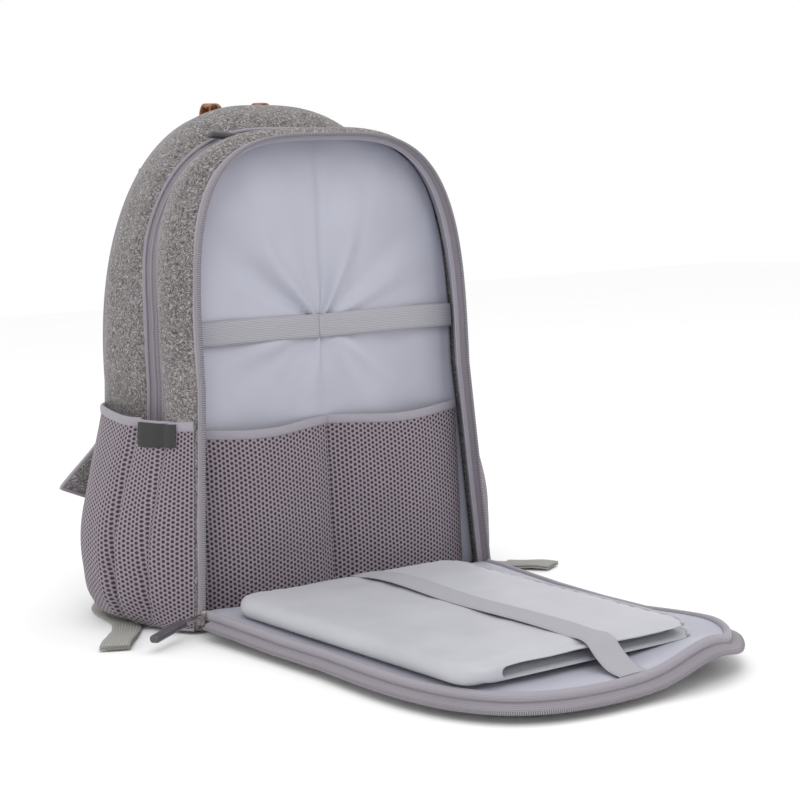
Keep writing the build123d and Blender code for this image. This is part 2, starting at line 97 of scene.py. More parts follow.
# Side pockets: share of the belly's fullness from the front seam to the back seam
SIDE_PLAN = [
    (0.0, 0.0), (0.12, 0.34), (0.25, 0.58), (0.4, 0.8), (0.55, 0.94),
    (0.7, 1.0), (0.83, 0.9), (0.93, 0.6), (1.0, 0.0),
]
SIDE_MOUTH_Z = 173.0

# Flap, laid open on the floor
FLAP_SHIFT = -71.0
FLAP_FOOT = 15.0
NOTCH_FROM = 34.0

# Folded changing mat and the elastic over it
MAT_LOW = 20.4
MAT_SIDES = (-131.0, 92.0)
MAT_ENDS = (-116.0, -446.0)
MAT_STEP = 5.0
MAT_LAYERS = (MAT_LOW + 4.2, MAT_LOW + 13.6)
MAT_CORNER = 30.0
MAT_BAND_X = -8.0

# Handle and shoulder straps: outlines as (across, up), and how far a strap stands off the back at a height
HANDLE_Z = 441.0
STRAP_OUTER = [(92, 394), (96, 320), (104, 240), (130, 165), (183, 108)]
STRAP_INNER = [(40, 394), (45, 300), (60, 200), (92, 130), (116, 78)]
STRAP_LIFT = [(78.0, 24.0), (150.0, 19.0), (235.0, 11.0), (320.0, 5.0), (396.0, 0.0)]
STRAP_ROWS = 120

# Parts that are shown as they are in the frame, by material
HARD_PARTS = {
    "nickel": [
        "handle_rivets", "front_slider", "front_pull_link", "main_left_slider", "main_left_pull_link",
        "main_right_slider", "main_right_pull_link", "handle_hinge_loops",
    ],
    "pull_rubber": ["front_pull_grip", "main_left_pull_grip", "main_right_pull_grip"],
    "buckle_plastic": ["strap_adjuster_left", "strap_adjuster_right"],
}


# ---------------------------------------------------------------- curves and grids

def depth(value):
    """Y of a point the given distance behind the front opening."""
    return FRONT_Y + value


def smooth_line(knots, at):
    """Smooth curve through knots (position, value, value, ...), read at the given positions."""
    knots = np.asarray(knots, float)
    where = np.asarray(at, float)
    place = knots[:, 0]
    values = knots[:, 1:]
    slope = np.gradient(values, place, axis=0)
    index = np.clip(np.searchsorted(place, where, side="right") - 1, 0, len(place) - 2)
    span = (place[index + 1] - place[index])
    t = np.clip((where - place[index]) / span, 0, 1)[:, None]
    span = span[:, None]
    start = values[index]
    end = values[index + 1]
    first = slope[index] * span
    last = slope[index + 1] * span
    t2 = t * t
    t3 = t2 * t
    ends = (2 * t3 - 3 * t2 + 1) * start + (3 * t2 - 2 * t3) * end
    return ends + (t3 - 2 * t2 + t) * first + (t3 - t2) * last


def lengths(line):
    """Distance along a line of points at each of its points."""
    steps = np.linalg.norm(np.diff(line, axis=0), axis=1)
    return np.concatenate([[0.0], np.cumsum(steps)])


def resample(line, count):
    """The same line with evenly spaced points."""
    line = np.asarray(line, float)
    along = lengths(line)
    at = np.linspace(0, along[-1], count)
    return np.stack([np.interp(at, along, line[:, axis]) for axis in range(line.shape[1])], axis=1)


def spline(points, count):
    """Smooth line of evenly spaced points through a few given ones."""
    points = np.asarray(points, float)
    knots = np.column_stack([lengths(points), points])
    dense = smooth_line(knots, np.linspace(0, knots[-1, 0], 12 * len(points) + 60))
    return resample(dense, count)


def swell(x, y, size, seed):
    """Smooth uneven surface between about -1 and 1, with bumps of about the given size."""
    source = np.random.default_rng(seed)
    total = 0.0
    for _ in range(7):
        angle = source.uniform(0, 2 * pi)
        wave = size * source.uniform(0.8, 2.2)
        phase = source.uniform(0, 2 * pi)
        total = total + np.sin(2 * pi * (x * cos(angle) + y * sin(angle)) / wave + phase)
    return total / 3.5


def bump_at(x, centre, wide):
    """Soft hump of height 1 round a centre."""
    return np.exp(-((x - centre) / wide) ** 2)


def arch(grow=0.0, rise=None, bottom=RIM_BASE, count=AROUND, square=SQUARE):
    """Points (across, up) of the opening's arch moved out by grow, from its left foot to its right foot."""
    rise = grow if rise is None else rise
    half = HALF_SPRING + grow
    wide = half + LEAN * (SPRING - bottom)
    angle = np.linspace(pi, 0, 721)
    right = np.interp(square, (BACK_SQUARE, SQUARE), RIGHT_EASE[::-1])
    power = 2 / np.where(np.cos(angle) < 0, square, right + 0.2)
    x = half * np.sign(np.cos(angle)) * np.abs(np.cos(angle)) ** power
    z = SPRING + (RIM_BASE + RIM_HEIGHT + rise - SPRING) * np.abs(np.sin(angle)) ** power
    line = np.vstack([[(-wide, bottom)], np.column_stack([x, z]), [(wide, bottom)]])
    return resample(line, count)


def arch_loop(grow, rise, bottom, corner, count=AROUND, square=SQUARE):
    """Closed outline of the arch with rounded bottom corners."""
    line = arch(grow, rise, bottom + corner, 400, square)
    wide = line[-1, 0]
    turn = np.linspace(0, pi / 2, 9)[1:]
    right = np.column_stack([wide - corner + corner * np.cos(turn), bottom + corner - corner * np.sin(turn)])
    left = right[::-1] * (-1, 1)
    closed = np.vstack([line, right, left, line[:1]])
    return resample(closed, count + 1)[:-1]


def lay_back(back, z):
    """Y of a line at one depth: the main zip's lower ends come forward of the rest."""
    share = np.interp(back, (15, 62, 95, 140), (0, 1, 1, 0))
    low = np.clip((345 - z) / 90, 0, 1)
    return depth(back) - ZIP_FORWARD * share * low ** 2 * (3 - 2 * low)


def sweep(low, high, steps, inset=0.0, bottom=BASE_TOP, count=AROUND):
    """Grid over the body's sides and top between two depths, a distance inside the profile."""
    rows = []
    for back in np.linspace(low, high, steps):
        grow, rise, square = smooth_line(PROFILE, [back])[0]
        line = arch(grow - inset, rise - inset, bottom, count, square)
        rows.append(np.column_stack([line[:, 0], lay_back(back, line[:, 1]), line[:, 1]]))
    return np.stack(rows, axis=1)


def normals(grid):
    """Unit normals of a grid of points."""
    cross = np.cross(np.gradient(grid, axis=0), np.gradient(grid, axis=1))
    size = np.linalg.norm(cross, axis=2, keepdims=True)
    return cross / np.maximum(size, 1e-9)


def thick(grid, amount, edge=0.35):
    """Closed loops round a sheet of the given thickness, with slightly rounded side edges."""
    side = normals(grid) * (amount / 2)
    outer = grid + side
    inner = grid - side
    out_dir = grid[:, :1] - grid[:, 1:2]
    out_dir = out_dir / np.maximum(np.linalg.norm(out_dir, axis=2, keepdims=True), 1e-9)
    end_dir = grid[:, -1:] - grid[:, -2:-1]
    end_dir = end_dir / np.maximum(np.linalg.norm(end_dir, axis=2, keepdims=True), 1e-9)
    first = grid[:, :1] + out_dir * amount * edge
    last = grid[:, -1:] + end_dir * amount * edge
    return np.concatenate([first, outer, last, inner[:, ::-1]], axis=1)


# ---------------------------------------------------------------- meshes

def make_object(name, points, faces, cloth=None):
    mesh = bpy.data.meshes.new(name)
    mesh.from_pydata((np.asarray(points) * MM).tolist(), [], faces)
    if cloth is not None:
        attribute = mesh.attributes.new("cloth", "FLOAT_VECTOR", "POINT")
        attribute.data.foreach_set("vector", np.asarray(cloth, np.float32).ravel())
    work = bmesh.new()
    work.from_mesh(mesh)
    bmesh.ops.remove_doubles(work, verts=work.verts, dist=1e-6)
    bmesh.ops.recalc_face_normals(work, faces=work.faces)
    work.to_mesh(mesh)
    work.free()
    for polygon in mesh.polygons:
        polygon.use_smooth = True
    mesh.set_sharp_from_angle(angle=radians(60))
    item = bpy.data.objects.new(name, mesh)
    bpy.context.scene.collection.objects.link(item)
    return item


def loops_to_mesh(name, grid, fan=False):
    """Mesh of closed loops, one after another; strips close both ends or, for fan, a centre point does."""
    rows, columns = grid.shape[:2]
    points = grid.reshape(-1, 3)
    down = lengths(grid.mean(axis=1)) if not fan else lengths(grid[:, 0])
    across = lengths(grid[rows // 2])
    cloth = np.zeros((rows, columns, 3))
    cloth[:, :, 0] = down[:, None]
    cloth[:, :, 1] = across[None, :]
    cloth = cloth.reshape(-1, 3)
    faces = []
    for i in range(rows - 1):
        for j in range(columns):
            k = (j + 1) % columns
            faces.append((i * columns + j, i * columns + k, (i + 1) * columns + k, (i + 1) * columns + j))
    for start in (0, (rows - 1) * columns):
        if fan:
            centre = len(points)
            points = np.vstack([points, points[start:start + columns].mean(axis=0)])
            cloth = np.vstack([cloth, cloth[start:start + columns].mean(axis=0)])
            faces += [(start + j, start + (j + 1) % columns, centre) for j in range(columns)]
        else:
            for j in range(columns // 2 - 1):
                faces.append((start + j, start + j + 1, start + columns - 2 - j, start + columns - 1 - j))
    return make_object(name, points, faces, cloth)


def sheet_mesh(name, grid, amount, edge=0.35):
    return loops_to_mesh(name, thick(grid, amount, edge))


def frames(path, up):
    """Directions along a path, sideways and up from it."""
    along = np.gradient(path, axis=0)
    along /= np.maximum(np.linalg.norm(along, axis=1, keepdims=True), 1e-9)
    up = np.broadcast_to(np.asarray(up, float), path.shape)
    side = np.cross(along, up)
    side /= np.maximum(np.linalg.norm(side, axis=1, keepdims=True), 1e-9)
    return side, np.cross(side, along)


def swept(name, path, section, up=(0, 1, 0)):
    """Closed section (sideways, up) carried along a path."""
    path = np.asarray(path, float)
    side, raised = frames(path, up)
    section = np.asarray(section, float)
    grid = path[:, None] + side[:, None] * section[None, :, :1] + raised[:, None] * section[None, :, 1:2]
    return loops_to_mesh(name, grid)


def circle(radius, count=8, flat=1.0):
    angle = np.linspace(0, 2 * pi, count, endpoint=False)
    return np.column_stack([radius * np.cos(angle), radius * flat * np.sin(angle)])


def oval(wide, high, count=16, power=0.6):
    """Rounded rectangular section."""
    angle = np.linspace(0, 2 * pi, count, endpoint=False)
    x = np.sign(np.cos(angle)) * np.abs(np.cos(angle)) ** power * wide / 2
    y = np.sign(np.sin(angle)) * np.abs(np.sin(angle)) ** power * high / 2
    return np.column_stack([x, y])


def dress(item, slot, body, *nodes):
    """Gives a piece its material, lets it ride on a body and stand for CAD nodes."""
    item.data.materials.clear()
    item.data.materials.append(MATERIALS[slot])
    if body:
        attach(item, body)
    if nodes:
        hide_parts(*nodes)
    return item


# ---------------------------------------------------------------- materials

class Shader:
    """A node material that is built up node by node."""

    def __init__(self, name, rough, metallic=0.0, sheen=0.0):
        self.material = bpy.data.materials.new(name)
        self.material.use_nodes = True
        self.nodes = self.material.node_tree.nodes
        self.links = self.material.node_tree.links
        self.surface = self.nodes["Principled BSDF"]
        self.surface.inputs["Roughness"].default_value = rough
        self.surface.inputs["Metallic"].default_value = metallic
        self.surface.inputs["Sheen Weight"].default_value = sheen
        self.surface.inputs["Sheen Roughness"].default_value = 0.4

    def put(self, socket, value):
        if isinstance(value, bpy.types.NodeSocket):
            self.links.new(value, socket)
        else:
            socket.default_value = value

    def add(self, kind, inputs, output=0, **settings):
        node = self.nodes.new(kind)
        for key, value in settings.items():
            setattr(node, key, value)
        for key, value in inputs.items():
            self.put(node.inputs[key], value)
        return node.outputs[output]

    def place(self):
        """Position on the object, in metres."""
        return self.add("ShaderNodeTexCoord", {}, "Object")

    def cloth(self):
        """Position along and across the cloth, in millimetres."""
        return self.add("ShaderNodeAttribute", {}, "Vector", attribute_name="cloth")

    def maths(self, operation, first, second=0.0):
        return self.add("ShaderNodeMath", {0: first, 1: second}, operation=operation)

    def vector(self, operation, first, second, output="Vector"):
        return self.add("ShaderNodeVectorMath", {0: first, 1: second}, output, operation=operation)

    def noise(self, where, scale, detail=3.0, rough=0.6):
        inputs = {"Vector": where, "Scale": scale, "Detail": detail, "Roughness": rough}
        return self.add("ShaderNodeTexNoise", inputs)

    def ramp(self, factor, stops):
        node = self.nodes.new("ShaderNodeValToRGB")
        elements = node.color_ramp.elements
        while len(elements) < len(stops):
            elements.new(0.5)
        for element, (place, colour) in zip(elements, stops):
            element.position = place
            element.color = (*colour, 1.0)
        self.links.new(factor, node.inputs["Fac"])
        return node.outputs["Color"]

    def range(self, value, low, high, to_low=0.0, to_high=1.0):
        inputs = {"Value": value, "From Min": low, "From Max": high, "To Min": to_low, "To Max": to_high}
        return self.add("ShaderNodeMapRange", inputs)

    def mix(self, factor, first, second, blend="MIX"):
        node = self.nodes.new("ShaderNodeMix")
        node.data_type = "RGBA"
        node.blend_type = blend
        self.put(node.inputs[0], factor)
        self.put(node.inputs[6], first if not isinstance(first, tuple) else (*first, 1.0))
        self.put(node.inputs[7], second if not isinstance(second, tuple) else (*second, 1.0))
        return node.outputs[2]

    def finish(self, colour, height=None, strength=0.5, reach=0.0005):
        if isinstance(colour, tuple):
            colour = (*colour, 1.0)
        self.put(self.surface.inputs["Base Color"], colour)
        if height is not None:
            bump = self.add("ShaderNodeBump", {"Height": height, "Strength": strength, "Distance": reach})
            self.links.new(bump, self.surface.inputs["Normal"])
        return self.material


def grey(level, warm=0.0):
    return (level * (1 + warm), level * (1 - warm / 2), level * (1 - warm / 2))


def felt_material():
    """Heathered wool: light and dark fibres in a warm grey."""
    s = Shader("felt", 0.95, sheen=0.25)
    place = s.place()
    bent = s.vector("ADD", place, s.vector("MULTIPLY", s.add(
        "ShaderNodeTexNoise", {"Vector": place, "Scale": 90.0, "Detail": 2.0}, "Color",
    ), (0.012, 0.012, 0.012)))
    long = s.vector("MULTIPLY", bent, (1.0, 1.0, 0.45))
    flat = s.vector("MULTIPLY", bent, (0.5, 0.5, 1.2))
    dark = s.noise(long, 600.0, 5.0, 0.75)
    light = s.noise(flat, 700.0, 5.0, 0.75)
    cloud = s.noise(place, 55.0, 3.0, 0.6)
    base = s.ramp(cloud, [(0.3, grey(0.155, 0.06)), (0.7, grey(0.215, 0.06))])
    with_dark = s.mix(s.range(dark, 0.46, 0.57), base, grey(0.045, 0.06))
    colour = s.mix(s.range(light, 0.51, 0.64), with_dark, grey(0.44, 0.05))
    height = s.maths("ADD", dark, light)
    return s.finish(colour, height, 0.55, 0.0009)


def lining_material(name="lining", level=(0.425, 0.430, 0.500), rough=0.5):
    """Smooth nylon with a fine weave and a soft shine."""
    s = Shader(name, rough, sheen=0.12)
    place = s.place()
    cloud = s.noise(place, 14.0, 3.0, 0.5)
    low = tuple(0.94 * value for value in level)
    high = tuple(1.05 * value for value in level)
    colour = s.ramp(cloud, [(0.3, low), (0.7, high)])
    thread = s.noise(s.vector("MULTIPLY", place, (1.0, 1.0, 4.0)), 900.0, 2.0, 0.5)
    cross = s.noise(s.vector("MULTIPLY", place, (4.0, 4.0, 1.0)), 900.0, 2.0, 0.5)
    soft = s.noise(place, 70.0, 3.0, 0.55)
    weave = s.maths("MULTIPLY", s.maths("ADD", thread, cross), 0.12)
    height = s.maths("ADD", weave, s.maths("MULTIPLY", soft, 0.8))
    return s.finish(colour, height, 0.25, 0.0012)


def cells(s, where, pitch):
    """Distance in millimetres from the nearest hole of a staggered mesh."""
    row = pitch * 3 ** 0.5
    steps = []
    for shift in (0.0, 0.5):
        cell = s.vector("ADD", s.vector("MULTIPLY", where, (1 / row, 1 / pitch, 0.0)), (shift, shift, 0.0))
        inside = s.vector("SUBTRACT", s.vector("FRACTION", cell, (0, 0, 0)), (0.5, 0.5, 0.0))
        scaled = s.vector("MULTIPLY", inside, (row, pitch, 0.0))
        steps.append(s.vector("LENGTH", scaled, (0, 0, 0), "Value"))
    return s.maths("MINIMUM", steps[0], steps[1])


def mesh_material():
    """Spacer mesh: round open cells in a knitted face, with painted shade inside the cells."""
    s = Shader("spacer_mesh", 0.8, sheen=0.2)
    cloth = s.cloth()
    wander = s.noise(cloth, 0.05, 2.0, 0.5)
    shifted = s.vector("ADD", cloth, s.vector("MULTIPLY", s.add(
        "ShaderNodeCombineXYZ", {0: wander, 1: wander}), (1.6, 1.6, 0.0)))
    near = cells(s, shifted, 4.2)
    wall = s.range(near, 1.1, 1.65)
    thread = s.noise(cloth, 1.6, 3.0, 0.6)
    face = s.ramp(thread, [(0.3, (0.235, 0.19, 0.225)), (0.7, (0.37, 0.31, 0.36))])
    # The holes are painted near black as painted shade inside the open cells; the face keeps its own uneven
    # thread tone.
    colour = s.mix(wall, (0.035, 0.028, 0.035), face)
    height = s.maths("ADD", wall, s.maths("MULTIPLY", thread, 0.35))
    return s.finish(colour, height, 0.8, 0.0012)


def ribbed_material(name, colour, pitch, axis, rib_shade=0.25, rough=0.75, sheen=0.15, strength=0.6):
    """Woven tape with ribs along or across it, the valleys painted darker as shade and the rib tops a little
    lighter as lit.
    """
    s = Shader(name, rough, sheen=sheen)
    cloth = s.cloth()
    part = s.add("ShaderNodeSeparateXYZ", {"Vector": cloth}, axis)
    wave = s.maths("SINE", s.maths("MULTIPLY", part, 2 * pi / pitch))
    fine = s.noise(cloth, 1.3, 3.0, 0.6)
    level = s.range(s.maths("ADD", wave, s.maths("MULTIPLY", fine, 0.8)), -1.0, 1.8)
    # Colour follows the rib height: low is painted shade in the rib valleys, high a slight painted light on
    # the rib tops; the fine noise adds uneven thread tone.
    low = tuple(value * (1 - rib_shade) for value in colour)
    high = tuple(value * (1 + 0.3 * rib_shade) for value in colour)
    mixed = s.mix(level, low, high)
    return s.finish(mixed, level, strength, 0.0005)


def coil_material():
    """Nylon zip coil: closely set turns across the zip, with painted shade between the turns."""
    s = Shader("zip_coil", 0.45)
    part = s.add("ShaderNodeSeparateXYZ", {"Vector": s.cloth()}, 0)
    wave = s.maths("SINE", s.maths("MULTIPLY", part, 2 * pi / 1.5))
    level = s.range(wave, -1.0, 0.7)
    # The dark colour is painted shade in the gaps between the turns; the lighter lilac is the coil's own
    # colour.
    colour = s.mix(level, (0.10, 0.09, 0.105), (0.36, 0.335, 0.375))
    return s.finish(colour, level, 0.9, 0.0008)


def leather_material():
    s = Shader("leather", 0.42)
    place = s.place()
    cloud = s.noise(place, 80.0, 4.0, 0.6)
    grain = s.add("ShaderNodeTexVoronoi", {"Vector": place, "Scale": 900.0})
    colour = s.ramp(cloud, [(0.3, (0.20, 0.070, 0.025)), (0.7, (0.34, 0.125, 0.045))])
    s.surface.inputs["Coat Weight"].default_value = 0.15
    return s.finish(colour, s.maths("ADD", grain, cloud), 0.3, 0.0004)


def metal_material():
    s = Shader("nickel", 0.2, metallic=1.0)
    place = s.place()
    cloud = s.noise(place, 300.0, 4.0, 0.6)
    colour = s.ramp(cloud, [(0.3, (0.46, 0.43, 0.42)), (0.7, (0.66, 0.62, 0.60))])
    s.links.new(s.range(cloud, 0.3, 0.7, 0.14, 0.28), s.surface.inputs["Roughness"])
    return s.finish(colour, s.noise(place, 2500.0, 2.0, 0.5), 0.05, 0.0001)


def moulded_material(name, colour, rough, scale=1400.0):
    s = Shader(name, rough)
    place = s.place()
    cloud = s.noise(place, 60.0, 3.0, 0.5)
    low = tuple(0.85 * value for value in colour)
    high = tuple(1.15 * value for value in colour)
    mixed = s.ramp(cloud, [(0.3, low), (0.7, high)])
    return s.finish(mixed, s.noise(place, scale, 3.0, 0.6), 0.15, 0.0003)


def build_materials():
    lilac = (0.28, 0.255, 0.29)
    found = {
        "felt": felt_material(),
        "spacer_mesh": mesh_material(),
        "lining": lining_material(),
        "mat_cover": lining_material("mat_cover", (0.455, 0.455, 0.495), 0.48),
        "mat_trim": ribbed_material("mat_trim", (0.46, 0.455, 0.50), 1.6, 0, 0.2),
        "binding": ribbed_material("binding", (0.35, 0.325, 0.37), 1.1, 1, 0.16, 0.65),
        "zip_tape": ribbed_material("zip_tape", lilac, 1.6, 1, 0.28, 0.75),
        "zip_coil": coil_material(),
        "elastic": ribbed_material("elastic", (0.41, 0.40, 0.44), 1.5, 1, 0.3, 0.8),
        "webbing": ribbed_material("webbing", (0.36, 0.355, 0.325), 2.4, 1, 0.35, 0.85, 0.2, 0.8),
        "leather": leather_material(),
        "nickel": metal_material(),
        "pull_rubber": moulded_material("pull_rubber", (0.075, 0.07, 0.08), 0.3),
        "buckle_plastic": moulded_material("buckle_plastic", (0.03, 0.03, 0.032), 0.45),
        "board": moulded_material("board", (0.08, 0.08, 0.08), 0.6),
        "foam": moulded_material("foam", (0.6, 0.6, 0.6), 0.9),
        "tag_fabric": ribbed_material("tag_fabric", (0.035, 0.034, 0.034), 0.8, 1, 0.4, 0.7),
    }
    return found


MATERIALS = {}


# ---------------------------------------------------------------- body

def soften(grid, size, height, seed):
    """Pushes a grid in and out along its normals by a smooth uneven amount."""
    amount = swell(grid[:, :, 1] + 0.6 * grid[:, :, 0], grid[:, :, 2], size, seed) * height
    return grid + normals(grid) * amount[:, :, None]


def gussets():
    """Felt sides and top in front of and behind the main zip; the front one stands for the seams below the
    zip.
    """
    front = soften(sweep(1.0, 65.0, 26, FELT / 2, 4.0), 70, 0.7, 3)
    item = sheet_mesh("felt_front_gusset", front, FELT)
    dress(item, "felt", "bag", "front_gusset", "side_seams")
    rear = soften(sweep(93.5, 164.0, 30, FELT / 2, 4.0), 90, 1.2, 5)
    item = sheet_mesh("felt_rear_gusset", rear, FELT)
    dress(item, "felt", "bag", "rear_gusset")


def along_body(back, inset, count=AROUND, bottom=4.0):
    """Line over the body's sides and top at one depth, a distance inside the profile."""
    grow, rise, square = smooth_line(PROFILE, [back])[0]
    line = arch(grow - inset, rise - inset, bottom, count, square)
    return np.column_stack([line[:, 0], lay_back(back, line[:, 1]), line[:, 1]])


def main_zip():
    """Two sunken tapes, a pair of coils between them, and the rolled felt edges on both sides."""
    for name, low, high in (("front", 62.0, 77.4), ("rear", 82.6, 96.0)):
        item = sheet_mesh("main_zip_tape_" + name + "_cloth", sweep(low, high, 8, 1.2, 4.0), 1.2)
        dress(item, "zip_tape", "bag")
    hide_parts("main_zip_tapes")
    for name, middle in (("front", 78.7), ("rear", 81.3)):
        item = swept("main_zip_coil_" + name + "_teeth", along_body(middle, -0.2, 420), circle(1.6, 8))
        dress(item, "zip_coil", "bag")
    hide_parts("main_zip_coils")
    for name, back, inset, radius in (
        ("front", 65.0, -0.3, 1.7), ("front_inner", 72.0, -0.2, 1.1), ("rear_inner", 87.5, 0.2, 1.1),
        ("rear", 93.0, -0.4, 1.7),
    ):
        item = swept("main_zip_fold_" + name, along_body(back, inset), circle(radius, 8))
        dress(item, "binding", "bag")


def back_side():
    """Padded back with a piped seam round it, and the spacer mesh pad between the straps."""
    rows = []
    for back, inset in (
        (150.0, 60.0), (150.0, 12.0), (156.0, 7.0), (162.0, 5.0), (165.5, 6.5), (167.5, 11.0),
        (168.5, 20.0), (169.0, 36.0), (169.3, 60.0), (169.5, 90.0), (169.5, 120.0),
    ):
        grow, rise = 18.0 - inset, 36.0 - inset
        loop = arch_loop(grow, rise, 3.0 + 0.6 * inset, max(22.0 - 0.1 * inset, 6.0), square=BACK_SQUARE)
        dent = 0.8 * swell(loop[:, 0], loop[:, 1], 80, 9) if back > 166 else 0.0
        rows.append(np.column_stack([loop[:, 0], np.full(len(loop), depth(back)) + dent, loop[:, 1]]))
    item = loops_to_mesh("felt_back", np.array(rows), fan=True)
    dress(item, "felt", "bag", "back_panel", "back_board")
    loop = arch_loop(12.5, 31.5, 5.0, 20.0, square=BACK_SQUARE)
    loop = np.vstack([loop[-3:], loop, loop[:3]])
    path = np.column_stack([loop[:, 0], np.full(len(loop), depth(164.8)), loop[:, 1]])
    dress(swept("back_piping", path, circle(2.0, 10)), "binding", "bag")
    u = np.linspace(-1, 1, 40)[:, None]
    v = np.linspace(-1, 1, 120)[None, :]
    x = 47 * u * (1 - 0.14 * v ** 16)
    z = 210 + 170 * v * (1 - 0.04 * u ** 6)
    height = 8.2 * ((1 - 0.97 * u ** 8) * (1 - 0.97 * v ** 24)) ** 0.5
    channels = 2.2 * (bump_at(z, 300, 5) + bump_at(z, 215, 5) + bump_at(z, 130, 5)) * (np.abs(u) < 0.9)
    item = sheet_mesh("back_mesh_pad", np.stack([x, depth(166) + height - channels, z], axis=2), 2.0)
    dress(item, "spacer_mesh", "bag", "back_pad")


def base():
    """Felt base with rounded lower edges."""
    backs = np.linspace(0, 165, 24)
    half = 146.0 + smooth_line(PROFILE, backs)[:, 0] * 0.85
    left = np.column_stack([-half, depth(backs)])
    right = np.column_stack([half, depth(backs)])[::-1]
    outline = resample(np.vstack([left, right, left[:1]]), 201)[:-1]
    centre = outline.mean(axis=0)
    rows = []
    for share, z in (
        (0.05, 0.4), (0.5, 0.4), (0.9, 0.4), (0.965, 1.2), (0.99, 3.0), (1.0, 5.0), (0.995, 6.2),
        (0.97, 6.8),
        (0.9, 7.0), (0.5, 7.0), (0.05, 7.0),
    ):
        flat = centre + (outline - centre) * share
        rows.append(np.column_stack([flat, np.full(len(flat), z)]))
    item = loops_to_mesh("felt_base", np.array(rows), fan=True)
    dress(item, "felt", "bag", "base_panel", "base_board")


def divider_push(x, z):
    """How far the divider's lining stands forward of its seam, with its soft folds."""
    from_tack = np.hypot(x, (z - BAND_Z))
    angle = np.arctan2(z - BAND_Z, x)
    sides = np.clip((130 - np.abs(x)) / 55, 0, 1)
    edge = np.sqrt(sides * np.clip((408 - z) / 50, 0, 1) * np.clip((z - 140) / 100, 0, 1))
    rays = np.sin(6.3 * angle + 0.5) + 0.7 * np.sin(11.0 * angle + 2.1) + 0.4 * np.sin(17.0 * angle)
    fan = 2.3 * rays * np.exp(-((from_tack - 52) / 75) ** 2)
    wander = x + 14 * np.sin(z / 47) - 0.18 * (z - 400) * np.sign(x)
    fan = fan * np.where(z < BAND_Z, 0.55, 1.0)
    folds = 1.5 * np.sin(wander / 9.0) * np.exp(-((z - 410) / 46) ** 2)
    long = 1.7 * bump_at(x, -46 - 0.25 * (z - 300), 9) - 1.5 * bump_at(x, 38 + 0.2 * (z - 300), 8)
    tack = -3.5 * np.exp(-(x / 16) ** 2 - ((z - BAND_Z) / 24) ** 2)
    above = np.clip((z - BAND_Z) / 60, 0, 1)
    crease = -2.4 * np.exp(-((x - 3 - 0.03 * (z - 300)) / 5) ** 2) * above
    below = np.clip((BAND_Z - z) / 20, 0, 1)
    drape = 1.6 * np.sin((x + 0.3 * z) / 13.0) * below
    soft = fan + folds + long * above + drape + 1.3 * swell(x, z, 80, 21)
    return 6.0 * edge + edge * soft + (tack + crease) * sides


def front_inside():
    """Lining round the inside of the front compartment, and the padded divider behind it."""
    band = sweep(0.5, DIVIDER + 2, 10, FELT + 0.8, BASE_TOP)
    item = sheet_mesh("lining_front_sides", band, LINING)
    dress(item, "lining", "bag", "front_lining")
    floor = np.array([
        [(x, y, 7.6) for y in np.linspace(depth(0.5), depth(27), 6)] for x in np.linspace(-141, 141, 60)
    ])
    dress(sheet_mesh("lining_front_floor", floor, 1.0), "lining", "bag")
    rows = []
    shares = np.concatenate([np.linspace(0.03, 0.9, 40), [0.93, 0.96, 0.98, 0.992, 1.0, 1.0]])
    edge_drop = np.concatenate([np.zeros(40), [0.4, 1.0, 2.0, 3.2, 4.6, 6.4]])
    grow, rise, square = smooth_line(PROFILE, [DIVIDER])[0]
    loop = arch_loop(grow - 5.4, rise - 5.4, 8.2, 8.0, 360, square)
    centre = np.array([0.0, 205.0])
    for share, drop in zip(shares, edge_drop):
        flat = centre + (loop - centre) * share
        push = divider_push(flat[:, 0], flat[:, 1])
        y = depth(DIVIDER - 0.5 + drop) - push * (share < 0.999)
        rows.append(np.column_stack([flat[:, 0], y, flat[:, 1]]))
    for share in (0.99, 0.5, 0.03):
        flat = centre + (loop - centre) * share
        rows.append(np.column_stack([flat[:, 0], np.full(len(flat), depth(DIVIDER + 7)), flat[:, 1]]))
    item = loops_to_mesh("divider_cover", np.array(rows), fan=True)
    dress(item, "lining", "bag", "divider_panel")
    rear = sweep(93.0, 160.0, 14, FELT + 0.9, BASE_TOP + 1)
    item = sheet_mesh("lining_main_sides", rear, LINING)
    dress(item, "lining", "bag", "main_lining")


# ---------------------------------------------------------------- front rim

def rim_grid(section, low, count=420):
    """Loops of a section (outward offset, depth) along the front opening."""
    rows = []
    for offset, back in section:
        line = arch(offset, offset, low, count)
        rows.append(np.column_stack([line[:, 0], np.full(count, depth(back)), line[:, 1]]))
    return np.stack(rows, axis=1)


def front_rim():
    """Rolled felt edge, binding, zip tape and coil round the front opening."""
    piping = rim_grid([
        (0.3, 2.0), (0.4, 0.0), (-0.6, -1.6), (-2.2, -2.2), (-3.8, -1.4), (-4.6, 0.4), (-4.2, 2.4),
    ], 8.0)
    item = loops_to_mesh("front_rim_piping", piping)
    dress(item, "binding", "bag", "front_rim_binding")
    tape = rim_grid([(-2.0, -0.5), (-1.3, -3.0), (-0.9, -6.0), (-0.6, -9.6)], 14.0)
    item = sheet_mesh("front_zip_tape_cloth", tape, 1.2)
    dress(item, "zip_tape", "bag", "front_zip_tape")
    middle = arch(-0.6, -0.6, 16.0, 520)
    path = np.column_stack([middle[:, 0], np.full(len(middle), depth(-11.0)), middle[:, 1]])
    item = swept("front_zip_coil_teeth", path, circle(1.45, 10))
    dress(item, "zip_coil", "bag", "front_zip_coil")


# ---------------------------------------------------------------- pockets and elastic

def pocket_push(t, v, left):
    """How far an inner pocket stands forward: t across it and v up it, both 0 to 1."""
    full = np.sin(pi * t) ** 0.62
    lean = 1 + 0.25 * (0.5 - t) * (1 if left else -1)
    sag = 0.62 + 0.38 * np.sin(pi * np.clip(0.16 + 0.62 * v, 0, 1))
    fold_place = 0.86 if left else 0.14
    fold = bump_at(t, fold_place, 0.045) * np.clip(1.1 - v, 0, 1) * 3.2
    return 18.5 * full * sag * lean + fold * full


